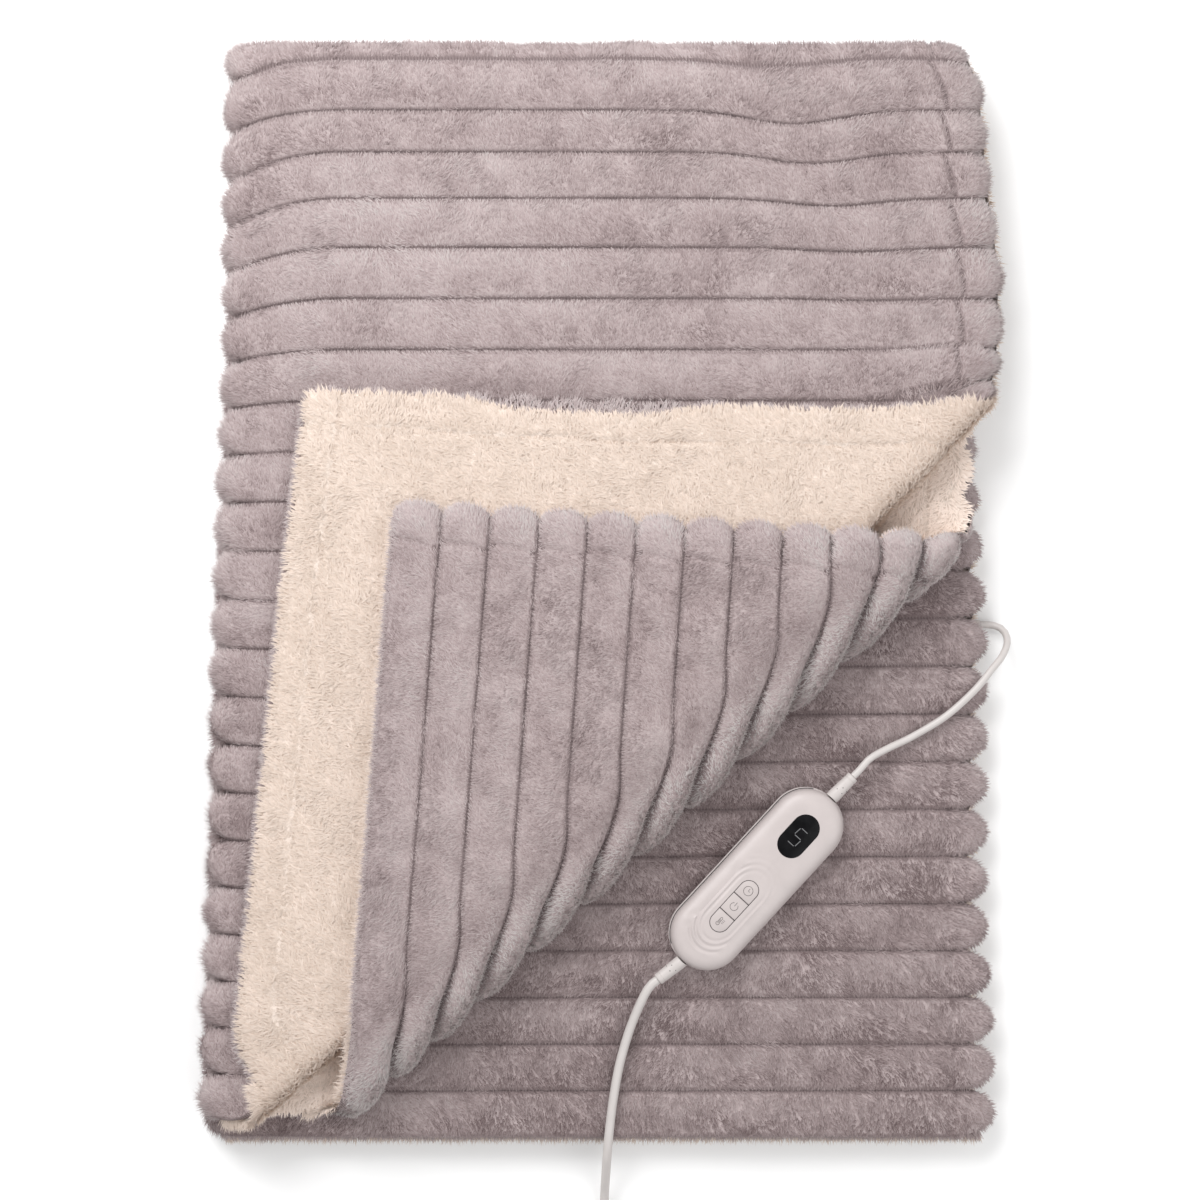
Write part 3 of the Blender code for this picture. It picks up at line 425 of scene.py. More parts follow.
def free_share(u, v):
    """1 where the plush lies free, 0 where a layer or the floor presses it."""
    right, down = flat_place(u, v)
    beyond = past_line(TOP_LINE, right, down)
    unslanted = right + FLAP_LEAN * (down - LEAN_FROM)
    by = TOP_TURN - 2.0 * past_line(TOP_LINE, unslanted, down)
    opposite = moved_along_normal(TOP_LINE, unslanted, down, by)
    covered = np.minimum(SPAN + FLAP_EDGE_SAG - opposite[0], UPPER_DOWN - opposite[1])
    top = np.clip(np.minimum(-covered, -beyond) / PRESSED_MARGIN, 0.0, 1.0)
    past_nose = past_line(UNDER_LINE, right, down)
    under = from_table(((NOSE_FREE[0], 0.0), (NOSE_FREE[1], 1.0)), past_nose / NOSE_RADIUS)
    lower = from_table(((LOWER_FREE[0], 0.0), (LOWER_FREE[1], 1.0)), past_nose)
    free = np.where(v > 0, np.where(u > 0, top, under), np.where(u > 0, 0.0, lower))
    side = np.cos(np.clip(u / SIDE_RADIUS, -math.pi / 2, math.pi / 2)) ** 2
    roll_turn = np.clip(v / roll_reach(u, v), -1.0, 1.0) * math.pi / 2
    roll = np.where((u > 0) & (v < 0), np.cos(roll_turn) ** 2, 0.0)
    return np.maximum(free, np.maximum(side, roll))


def hem_seam_line(v):
    """Distance of the hem's wavy stitching from the ribs' ends."""
    return HEM_SEAM_AT + HEM_SEAM_WAVE * (0.5 - rib_phase(v))


def hem_seam(u, v):
    off = (from_hem(u) - hem_seam_line(v)) / HEM_SEAM_WIDTH
    return hill(off) * np.where(v < 0, LOWER_HEM_SEAM, np.where(u > 0, 1.0, UNDER_HEM_SEAM))


def plush_height(u, v):
    """Distance of the plush's fabric from the middle of the pair."""
    free = free_share(u, v)
    turned = turned_share(u, v)
    pressed = PLUSH_PRESSED - PILE_PRESSED
    crest = pressed + (BACKING_CREST - pressed) * free
    crest = crest + NOSE_PUFF * nose_share(u, v) * free
    seam = np.minimum(FLAT_SEAM + (TURNED_SEAM - FLAT_SEAM) * turned, crest - LEAST_RIB)
    ribs = rib_round(v, FLAT_SQUARENESS + (TURNED_SQUARENESS - FLAT_SQUARENESS) * turned)
    height = (seam + (crest - seam) * ribs) * rounding(from_hem(u))
    height = height - HEM_SEAM_DEPTH * free * ribs * hem_seam(u, v)
    for k, (size, high) in enumerate(LUMPS):
        height = height + high * noise(u, v, size, 20 + k) * ribs * free
    return PLUSH_W + height


def tuft_height(u, v):
    return sum(high * noise(u, v, size, 40 + k) for k, (size, high) in enumerate(TUFTS))


def sherpa_seam(u, v):
    """1 on the stitching that runs inside the fleece's edges."""
    across = from_hem(u) - SHERPA_SEAM_AT - STITCH_WAVE * noise(v, v, STITCH_WAVES, 8)
    along = from_end(v) - SHERPA_SEAM_AT - STITCH_WAVE * noise(u, u, STITCH_WAVES, 9)
    return np.maximum(hill(across / STITCH_WIDTH), hill(along / STITCH_WIDTH))


def sherpa_height(u, v):
    """Distance of the fleece's surface from the middle of the pair, where it is free."""
    thick = SHERPA_HEM + (SHERPA_THICK - SHERPA_HEM) * rounding(from_hem(u)) * rounding(from_end(v))
    return JOIN_W - thick - TUFT_ROOM - tuft_height(u, v) + STITCH_DEPTH * sherpa_seam(u, v)


def scalloped(u, v):
    """How far the notches between the ribs' ends go in."""
    off = off_crest(v)
    depth = np.where((u < 0) & (v < 0), DEEP_SCALLOP, SCALLOP)
    return depth * (0.75 * (1.0 - np.sqrt(np.maximum(1.0 - off ** 2, 0.0))) + 0.25 * off ** 2)


def sherpa_inset(u, v):
    """How far the fleece stops short of the ribs' ends."""
    peek = SHERPA_PEEK * smooth(1.6 * (1.0 - np.abs(v - PEEK_AT) / PEEK_WIDTH))
    return SHERPA_INSET + np.where(u < 0, scalloped(u, v), peek)


def sherpa_end(v):
    """Draws the fleece's own end rows in from the last rib."""
    return v - np.sign(v) * END_INSET * faded(from_end(v), END_SHRINK)


def drawn_in(u, depth):
    return u - np.sign(u) * depth * faded(from_hem(u), SCALLOP_WIDTH)


def plush_place(u, v, w, more=0.0):
    """The place in space of a point of the plush, with the notches between the ribs' ends."""
    return fold_cloth(drawn_in(u, scalloped(u, v) + more), v, w)


def sherpa_place(u, v, w):
    return fold_cloth(drawn_in(u, sherpa_inset(u, v)), sherpa_end(v), w)


# ================================================================ surfaces
def half_columns(body_step):
    fold = np.linspace(0.0, FOLD_REACH, 7)
    body = np.arange(FOLD_REACH + body_step, HALF_WIDTH - HEM_STRIP - 0.002, body_step)
    hem = np.linspace(HALF_WIDTH - HEM_STRIP, HALF_WIDTH, 23)
    return np.concatenate((fold, body, hem))


def both_halves(left_step, right_step):
    return np.concatenate((-half_columns(left_step)[:0:-1], half_columns(right_step)))


def plush_rows():
    rows = []
    for rib in range(RIB_COUNT):
        rows += [(rib + phase) * RIB_PITCH - HALF_LENGTH for phase in RIB_PHASES]
    return np.array([*rows, HALF_LENGTH])


def sherpa_rows():
    """Fine rows where the fleece is seen, wide ones where it lies between the layers."""
    fold = np.linspace(-ROLL_REACH, ROLL_REACH, 15)
    below = np.linspace(-HALF_LENGTH, -ROLL_REACH, 45)
    near = np.linspace(ROLL_REACH, SEEN_FROM, 18)
    seen = np.linspace(SEEN_FROM, HALF_LENGTH, round((HALF_LENGTH - SEEN_FROM) / SHERPA_STEP))
    return np.concatenate((below[:-1], fold, near[1:], seen[1:]))


class Surface:
    """A face of the cloth on a grid of rows (v) and columns (u). Outward -1 turns its outside over."""

    def __init__(self, rows, columns, place, outward):
        self.v, self.u = np.meshgrid(rows, columns, indexing="ij")
        self.at = np.stack(place(self.u, self.v), axis=-1)
        self.along_u = unit(np.gradient(self.at, axis=1))
        self.along_v = unit(np.gradient(self.at, axis=0))
        self.outward = outward
        self.normal = outward * unit(np.cross(self.along_u, self.along_v))
        self.index = np.arange(self.u.size).reshape(self.u.shape)

    def quads(self):
        index = self.index
        corners = (index[:-1, :-1], index[:-1, 1:], index[1:, 1:], index[1:, :-1])
        return np.stack([corner.ravel() for corner in corners], axis=1)

    def rim(self):
        """Grid indices once round the edge."""
        index = self.index
        return np.concatenate((index[0, :-1], index[:-1, -1], index[-1, :0:-1], index[:0:-1, 0]))


def mesh_from(name, points, faces, uv=None):
    """A mesh of equal-sided faces from arrays, with an optional UV map in metres of cloth."""
    mesh = bpy.data.meshes.new(name)
    count, sides = faces.shape
    mesh.vertices.add(len(points))
    mesh.vertices.foreach_set("co", np.asarray(points, dtype=np.float32).ravel())
    mesh.loops.add(count * sides)
    mesh.loops.foreach_set("vertex_index", faces.astype(np.int32).ravel())
    mesh.polygons.add(count)
    mesh.polygons.foreach_set("loop_start", np.arange(0, count * sides, sides, dtype=np.int32))
    mesh.update(calc_edges=True)
    mesh.validate()
    mesh.polygons.foreach_set("use_smooth", np.full(count, True))
    if uv is not None:
        layer = mesh.uv_layers.new(name="cloth")
        layer.data.foreach_set("uv", uv[faces.ravel()].astype(np.float32).ravel())
    return mesh


def linked(name, data, made_of=None):
    made = bpy.data.objects.new(name, data)
    if made_of is not None:
        data.materials.append(made_of)
    bpy.context.collection.objects.link(made)
    return made


def cloth_piece(name, surface, edge_place, made_of):
    """The surface with a narrow strip turned in all round its edge."""
    rim = surface.rim()
    u, v = surface.u.ravel(), surface.v.ravel()
    edge = np.stack(edge_place(u[rim], v[rim]), axis=-1)
    start = len(u)
    inner = np.arange(start, start + len(rim))
    strip = np.stack((rim, inner, np.roll(inner, -1), np.roll(rim, -1)), axis=1)
    points = np.concatenate((surface.at.reshape(-1, 3), edge))
    faces = np.concatenate((surface.quads(), strip))[:, ::surface.outward]
    uv = np.stack((np.concatenate((u, u[rim])), np.concatenate((v, v[rim]))), axis=1)
    return linked(name, mesh_from(name, points, faces, uv), made_of)


def plush_surface():
    def place(u, v):
        return plush_place(u, v, plush_height(u, v))
    return Surface(plush_rows(), both_halves(HIDDEN_STEP, HIDDEN_STEP), place, -1)


def sherpa_surface():
    def place(u, v):
        return sherpa_place(u, v, np.maximum(sherpa_height(u, v), 0.0004))
    return Surface(sherpa_rows(), both_halves(HIDDEN_STEP, SHERPA_STEP), place, 1)


# ================================================================ pile
DIAGONAL = 0.7
LOW = 0.15
SIDES = ((1, 0), (-1, 0), (0, 1), (0, -1))
CORNERS = ((1, 1), (-1, 1), (1, -1), (-1, -1))
LOOKS = [(0, 0, 1)] + [(DIAGONAL * x, DIAGONAL * y, DIAGONAL) for x, y in SIDES]
SIDE_LOOKS = [(x, y, LOW) for x, y in SIDES] + [(DIAGONAL * x, DIAGONAL * y, LOW) for x, y in CORNERS]
CLEAR = 0.005                 # free height over a cell in which hair can stand
SKIN = 0.0006                 # above the cell's own face
FAR = 3.0                     # length of the rays that look for the open air
TURNED_AWAY = -0.15           # of a face that a look doesn't reach


def open_above(tree, point, way):
    """Whether nothing lies close above a point, its own face aside."""
    hit, normal, _, distance = tree.ray_cast(point, way, CLEAR)
    if hit is not None and normal.dot(way) > 0:
        hit = tree.ray_cast(hit + 0.0002 * way, way, CLEAR - distance)[0]
    return hit is None


def exposure(surface, tree):
    """How much of each grid cell can be seen from above (0 to 1), and from the sides."""
    at, normal = surface.at, surface.normal
    middle = (at[:-1, :-1] + at[1:, :-1] + at[:-1, 1:] + at[1:, 1:]) / 4
    normal = unit(normal[:-1, :-1] + normal[1:, 1:])
    start = (middle + CLEAR * normal).reshape(-1, 3)
    flat = normal.reshape(-1, 3)
    close = middle.reshape(-1, 3) + SKIN * flat
    free = np.array([open_above(tree, Vector(a), Vector(b)) for a, b in zip(close, flat)])
    seen = np.zeros((2, len(start)))
    for kind, looks in enumerate((LOOKS, SIDE_LOOKS)):
        for look in looks:
            ray = Vector(look).normalized()
            facing = free & (flat @ np.array(ray) > TURNED_AWAY)
            for i in np.nonzero(facing & (seen[kind] < 1.0))[0]:
                if tree.ray_cast(Vector(start[i]), ray, FAR)[0] is None:
                    seen[kind, i] = 1.0
    return seen.reshape(2, *middle.shape[:2])


def tree_of(*objects):
    points, faces = [], []
    for o in objects:
        start = len(points)
        points += [v.co for v in o.data.vertices]
        faces += [[start + k for k in polygon.vertices] for polygon in o.data.polygons]
    return BVHTree.FromPolygons(points, faces)


class Roots:
    """Random places on the seen cells of a surface, with what a hair there needs to know."""

    def __init__(self, surface, weight, count, seed):
        random = np.random.default_rng(seed)
        a = surface.at[1:, :-1] - surface.at[:-1, :-1]
        b = surface.at[:-1, 1:] - surface.at[:-1, :-1]
        area = np.linalg.norm(np.cross(a, b), axis=-1) * weight
        chance = (area / area.sum()).ravel()
        cell = random.choice(len(chance), size=count, p=chance)
        i, j = np.unravel_index(cell, area.shape)
        s, t = column(random.random(count)), column(random.random(count))

        def between(grid):
            low = grid[i, j] * (1 - t) + grid[i, j + 1] * t
            high = grid[i + 1, j] * (1 - t) + grid[i + 1, j + 1] * t
            return low * (1 - s) + high * s

        self.random = random
        self.count = count
        self.at = between(surface.at)
        self.u = between(surface.u[..., None])[:, 0]
        self.v = between(surface.v[..., None])[:, 0]
        self.normal = unit(between(surface.normal))
        self.along_u = unit(between(surface.along_u))
        self.along_v = unit(between(surface.along_v))

    def noise(self, size, seed):
        return noise(self.u, self.v, size, seed)

    def along(self, heading, forwards=1.0):
        """The way along the cloth at an angle from the ribs."""
        return column(np.cos(heading)) * self.along_u + column(forwards * np.sin(heading)) * self.along_v

    def spread(self, low, high):
        return self.random.uniform(low, high, self.count)

    def scatter(self, middle, width):
        return self.random.normal(middle, width, self.count)


def hair_mesh(name, chains, widths, side, tone, normals, made_of):
    """Tapering hairs: chains is (hairs, points, 3), widths one per point but the last, a tip."""
    count, points = chains.shape[:2]
    half = side[:, None, :] * widths[:, :, None] / 2
    left, right = chains[:, :-1] - half, chains[:, :-1] + half
    body = np.stack((left, right), axis=2).reshape(count, -1, 3)
    verts = np.concatenate((body, chains[:, -1:]), axis=1)
    per = verts.shape[1]
    pattern = []
    for k in range(points - 2):
        pattern += [(2 * k, 2 * k + 1, 2 * k + 3), (2 * k, 2 * k + 3, 2 * k + 2)]
    pattern.append((per - 3, per - 2, per - 1))
    faces = (np.arange(count)[:, None, None] * per + np.array(pattern)[None]).reshape(-1, 3)
    mesh = mesh_from(name, verts.reshape(-1, 3), faces)
    level = np.repeat(np.arange(points - 1), 2).tolist() + [points - 1]
    uv = np.empty((count, per, 2))
    uv[..., 0] = column(np.clip(tone, 0.01, 0.99))
    uv[..., 1] = 0.02 + 0.96 * np.array(level) / (points - 1)
    layer = mesh.uv_layers.new(name="OFBake")
    layer.data.foreach_set("uv", uv.reshape(-1, 2)[faces.ravel()].astype(np.float32).ravel())
    mesh.normals_split_custom_set_from_vertices(np.repeat(normals, per, axis=0).tolist())
    return linked(name, mesh, made_of)


def clump(roots, size, seed):
    """The way from each root to the middle of its clump, a jittered cell of the cloth."""
    lattice = np.random.default_rng(seed).uniform(-CLUMP_JITTER, CLUMP_JITTER, (2, LATTICE, LATTICE))
    a = (roots.u + 0.4 * size * roots.noise(1.7 * size, seed + 1)) / size
    b = (roots.v + 0.4 * size * roots.noise(1.7 * size, seed + 2)) / size
    i, j = np.floor(a).astype(int), np.floor(b).astype(int)
    off_u = (i + 0.5 + lattice[0, i % LATTICE, j % LATTICE] - a) * size
    off_v = (j + 0.5 + lattice[1, i % LATTICE, j % LATTICE] - b) * size
    tone = lattice[0, (i + 7) % LATTICE, (j + 3) % LATTICE] / CLUMP_JITTER
    return column(off_u) * roots.along_u + column(off_v) * roots.along_v, tone


# ---------------------------------------------------------------- plush pile
PILE_COUNT = 145500
PILE_PARTS = 3
PILE_LENGTH = 0.0070
PILE_WIDTH = 0.00085
PILE_CLUMP = 0.0030
CLUMP_JITTER = 0.3            # of a clump's size
ROOT_DEPTH = 0.0006           # of a hair's root under the fabric
SEAM_SIDE = 0.0018            # distance from a seam in which turned hair is shorter
SEAM_ROOM = 0.0003            # kept free beside a seam, so that it shows
LEAST_HAIR = 0.0006           # length of the hairs that grow right at a seam
LEAN, SWIRL = 0.25, 0.30      # how far the pile leans off the ribs, and how much that varies
PILE_RISE, RISE_VARIES, TURNED_RISE = 32, 12, 10      # degrees over the fabric
LOWER_FROM = -0.20            # the lower pair is in the upper one's shade past this row
LIT_PATCH_AT, LIT_PATCH_WIDTH = 0.18, 0.12      # a patch of the upper pair beside the left fold, painted lighter as painted light from the upper left


def pile_weight(surface, seen):
    """How densely the pile grows: where it's seen, and little on the underside of the lower crease."""
    above, beside = seen
    weight = np.maximum(above, 0.45 * beside)
    under_nose = (nose_share(surface.u, surface.v) > 0) & (surface.normal[..., 2] < -0.1)
    return np.where(under_nose[:-1, :-1], 0.15 * weight, weight)


def pile_tone(roots, shade_of_clump, turned, on_nose, hem):
    """The pile's tone: its own patches, and lighter, greyer fur where turned over a fold. Painted light and
    shade as well: each rib's upper half, the lower crease's nose, the under layer and a patch beside the left
    fold painted lighter; painted shade in the left fold and over the lower pair.
    """
    u, v = roots.u, roots.v
    upper = v > 0
    tone = 0.40 + 0.14 * roots.noise(0.05, 63) + 0.12 * roots.noise(0.011, 64)
    tone = tone + 0.07 * shade_of_clump + roots.scatter(0.0, 0.10) + 0.30 * turned
    # Painted light: the upper half of each rib lighter, where its hair tips face the light.
    tone = tone + 0.07 * np.cos(2 * math.pi * (rib_phase(v) - 0.25)) * np.sign(v)
    # Painted light: the lower crease's nose and the under layer painted lighter, against their shade.
    tone = tone + 0.36 * on_nose + np.where(upper & (u < 0), 0.10, 0.02) * upper
    # Painted shade in the left fold, and a painted light patch on the upper pair beside it.
    tone = tone - 0.18 * hill(u / 0.035) + 0.09 * hill((u - LIT_PATCH_AT) / LIT_PATCH_WIDTH) * upper
    # Painted shade over the lower pair past LOWER_FROM; the hem's stitching a little darker.
    return tone - 0.05 * hem - 0.15 * smooth((LOWER_FROM - v) / 0.05) * (u < 0)


def add_plush_pile(surface, seen, part, made_of):
    roots = Roots(surface, pile_weight(surface, seen), PILE_COUNT, 100 + part)
    u, v, normal = roots.u, roots.v, roots.normal
    phase, hem, turned, on_nose = rib_phase(v), hem_seam(u, v), turned_share(u, v), nose_share(u, v)
    beside_seam = 1.0 - smooth(np.minimum(phase, 1.0 - phase) * RIB_PITCH / SEAM_SIDE)
    swirl = 0.8 * roots.noise(0.060, 61) + 0.9 * roots.noise(0.016, 62)
    to_end = smooth(1.0 - from_hem(u) / HEM_REACH)
    heading = math.pi / 2 + LEAN + swirl + roots.scatter(0.0, SWIRL)
    nap = roots.along(heading, np.where((u < 0) & (v > 0), 1.0, -1.0))
    nap = unit(nap + column(1.6 * to_end * np.sign(u)) * roots.along_u)
    rise = column(np.radians(np.clip(roots.scatter(PILE_RISE, RISE_VARIES) + TURNED_RISE * turned, 8, 80)))
    way = unit(np.cos(rise) * nap + np.sin(rise) * normal)
    length = PILE_LENGTH * roots.spread(0.6, 1.15) * (1.0 + 0.25 * turned)
    length = length * (1.0 - 0.4 * hem) * (1.0 - 0.5 * turned * beside_seam) * (1.0 - 0.3 * to_end)
    length = length * (1.0 - 0.30 * on_nose - 0.35 * on_nose * smooth(1.0 - normal[:, 2] / 0.5))
    across = np.sum(way * roots.along_v, axis=1)
    ahead = np.where(across > 0, 1.0 - phase, phase) * RIB_PITCH
    length = np.minimum(length, np.maximum(ahead - SEAM_ROOM, LEAST_HAIR) / np.maximum(np.abs(across), 0.15))
    together, shade_of_clump = clump(roots, PILE_CLUMP, 301)
    root = roots.at - ROOT_DEPTH * normal
    tip = root + way * column(length) + 0.45 * together * column(1.0 - beside_seam)
    width = column(PILE_WIDTH * roots.spread(0.7, 1.3))
    tone = pile_tone(roots, shade_of_clump, turned, on_nose, hem)
    bent = roots.random.normal(0.0, 0.12, (roots.count, 3))
    shade = unit(normal + 0.22 * way + bent + column(0.4 + 0.6 * on_nose) * UP)
    chains, side = np.stack((root, tip), axis=1), unit(np.cross(way, normal))
    return hair_mesh(f"plush_pile_{part + 1}", chains, width, side, tone, shade, made_of)


# ---------------------------------------------------------------- fringes round the free edges
FRINGE_COUNT = 9000
SIDE_SHARE = 0.62             # of the flap's fringe that grows on its ribs' ends, not on its last rib
FRINGE_INSET, FRINGE_BACK = 0.0005, 0.004      # of its roots from the edge, and how far back they go
FRINGE_TONE = 0.68
EDGE_STEP = 0.001             # for the direction of an edge


def fringe_mesh(name, root, outward, above, length, width, tone, random, made_of):
    """Hairs that stand out over an edge."""
    count = len(root)
    outward, above = unit(outward), unit(above)
    aslant = np.cross(outward, above) * column(random.normal(0.0, 0.45, count))
    way = unit(outward + aslant + above * column(random.uniform(0.0, 0.9, count)))
    tip = root + way * column(length * random.uniform(0.6, 1.15, count))
    widths = column(width * random.uniform(0.8, 1.4, count))
    tones = tone + random.normal(0.0, 0.12, count)
    shade = unit(above + 0.4 * outward + 0.6 * UP)
    side = unit(np.cross(way, above))
    return hair_mesh(name, np.stack((root, tip), axis=1), widths, side, tones, shade, made_of)


def add_fringe(made_of):
    """Plush fur that shows past the fleece round the turned-back flap."""
    random = np.random.default_rng(150)
    aside = np.arange(FRINGE_COUNT) < SIDE_SHARE * FRINGE_COUNT
    back = random.random(FRINGE_COUNT)
    on_side = random.uniform(SEEN_FROM, HALF_LENGTH, FRINGE_COUNT)
    v = np.where(aside, on_side, HALF_LENGTH - FRINGE_INSET - FRINGE_BACK * back)
    inset = sherpa_inset(np.full(FRINGE_COUNT, HALF_WIDTH), v)
    u = HALF_WIDTH - FRINGE_INSET - (inset + 0.002) * back
    u = np.where(aside, u, random.uniform(0.05, HALF_WIDTH, FRINGE_COUNT))

    def place(u, v, w):
        return np.stack(plush_place(u, v, w), axis=-1)

    root = place(u, v, PLUSH_W)
    inner = np.where(column(aside), place(u - EDGE_STEP, v, PLUSH_W), place(u, v - EDGE_STEP, PLUSH_W))
    outward, above = root - inner, place(u, v, PLUSH_W - EDGE_STEP) - root
    size_and_tone = PILE_LENGTH, PILE_WIDTH, FRINGE_TONE
    return fringe_mesh("plush_fringe", root, outward, above, *size_and_tone, random, made_of)


def add_end_fringe(made_of, height_at, name, count, sides, v_sign, length, width, tone, seed):
    """Pile that hangs over a free end row of the cloth, in the plush or in the fleece."""
    random = np.random.default_rng(seed)
    u = random.uniform(*sides, count)
    v = v_sign * (HALF_LENGTH - random.uniform(0.0002, 0.005, count))
    w = height_at(u, v)
    root = np.stack(fold_cloth(u, v, w), axis=-1)
    outward = root - np.stack(fold_cloth(u, v - EDGE_STEP * v_sign, w), axis=-1)
    above = np.stack(fold_cloth(u, v, w + EDGE_STEP), axis=-1) - root
    above = above * np.sign(above[:, 2:] + 1e-6)
    return fringe_mesh(name, root, outward, above, length, width, tone, random, made_of)


UNDER_SIDE, FLOOR_SIDE, CORNER_SIDE = (-HALF_WIDTH + 0.012, 0.0), (0.0, HALF_WIDTH - 0.012), (0.015, 0.08)
FUR_FRINGES = (                # name, hairs, from and to u, end row, length, width, tone, seed
    ("flap_fur", 4000, (-HALF_WIDTH + 0.014, -0.04), 1, 0.0055, PILE_WIDTH, 0.60, 153),
    ("hem_fur", 5000, UNDER_SIDE, -1, 0.0075, PILE_WIDTH, 0.50, 151),
    ("floor_fur", 1500, FLOOR_SIDE, -1, 0.0060, PILE_WIDTH, 0.50, 156),
)
FLEECE_FRINGES = (
    ("hem_tufts", 4500, UNDER_SIDE, -1, 0.0100, 0.0012, 0.55, 152),
    ("floor_tufts", 4500, FLOOR_SIDE, -1, 0.0090, 0.0012, 0.55, 157),
    # Painted light: flap_tufts and corner_tufts are lighter than the other fringes, lifting the shade beside
    # the flap and the crease.
    ("flap_tufts", 2500, (-HALF_WIDTH + 0.014, -0.10), 1, 0.0095, 0.0013, 0.75, 154),
    ("corner_tufts", 1500, CORNER_SIDE, 1, 0.0130, 0.0014, 0.65, 155),
)


def fur_height(u, v):
    """Where the fringe's fur grows: on top of the flap, and low in the lower pair's hem."""
    return np.where(v > 0, plush_height(u, v) - 0.001, PLUSH_W + 0.002)


def fleece_height(u, _):
    return np.full_like(u, SHERPA_W + 0.003)


# ---------------------------------------------------------------- sherpa tufts
TUFT_COUNT = 65500
TUFT_LENGTH = 0.0078
TUFT_CLUMP = 0.0050
TUFT_WIDTH = 0.0013
TUFT_ROOT = 0.0008            # depth of a tuft's root under the fleece's surface
EDGE_TUFTS = 0.018            # distance from the fleece's edges in which its tufts turn outwards


def to_edges(roots):
    """The way out over the fleece's own edges, growing towards them."""
    aside = smooth(1.0 - from_hem(roots.u) / EDGE_TUFTS) * np.sign(roots.u)
    onward = smooth(1.0 - from_end(roots.v) / EDGE_TUFTS) * np.sign(roots.v)
    return column(aside) * roots.along_u + column(onward) * roots.along_v


def at_crease(roots):
    """1 where the fleece runs round the top layer's crease."""
    beyond = past_line(TOP_LINE, *flat_place(roots.u, roots.v))
    return column(hill((beyond - TOP_TURN / 2) / TOP_TURN) * (roots.u > 0) * (roots.v > 0))


def add_sherpa_tufts(surface, seen, made_of):
    above, beside = seen
    roots = Roots(surface, np.maximum(above, 0.6 * beside), TUFT_COUNT, 200)
    normal = roots.normal
    stitched = sherpa_seam(roots.u, roots.v)
    heading = 0.9 + 0.7 * roots.noise(0.035, 71) + 0.9 * roots.noise(0.012, 72)
    nap = roots.along(heading + roots.scatter(0.0, 0.5))
    nap = unit(nap + 2.2 * to_edges(roots))
    curl = unit(np.cross(nap, normal)) * column(roots.scatter(0.0, 0.35))
    length = column(TUFT_LENGTH * roots.spread(0.55, 1.15)) * column(1.0 - 0.62 * stitched)
    crease = at_crease(roots)
    length = length * (1.0 + 0.25 * crease)
    curl = curl * (1.0 + 1.5 * crease)
    together, shade_of_clump = clump(roots, TUFT_CLUMP, 401)
    root = roots.at - TUFT_ROOT * normal
    middle = root + length * (0.42 * nap + 0.28 * normal + 0.2 * curl) + 0.25 * together
    tip = middle + length * (0.50 * nap + 0.04 * normal + 0.3 * curl) + 0.35 * together
    side = unit(np.cross(nap, normal) + 0.2 * normal)
    width = column(TUFT_WIDTH * roots.spread(0.7, 1.3)) * np.array([[1.0, 0.8]])
    tone = 0.545 + 0.05 * shade_of_clump + roots.scatter(0.0, 0.06) - 0.30 * stitched
    # Painted light: the under layer's fleece, in the shade of the layers above it, is painted much lighter.
    tone = tone + 0.06 * roots.noise(0.03, 73) + 0.42 * ((roots.u < 0) & (roots.v > 0))
    bent = roots.random.normal(0.0, 0.08, (roots.count, 3))
    shade = unit(normal + 0.16 * nap + bent + 0.5 * UP)
    chains = np.stack((root, middle, tip), axis=1)
    return hair_mesh("sherpa_tufts", chains, width, side, tone, shade, made_of)


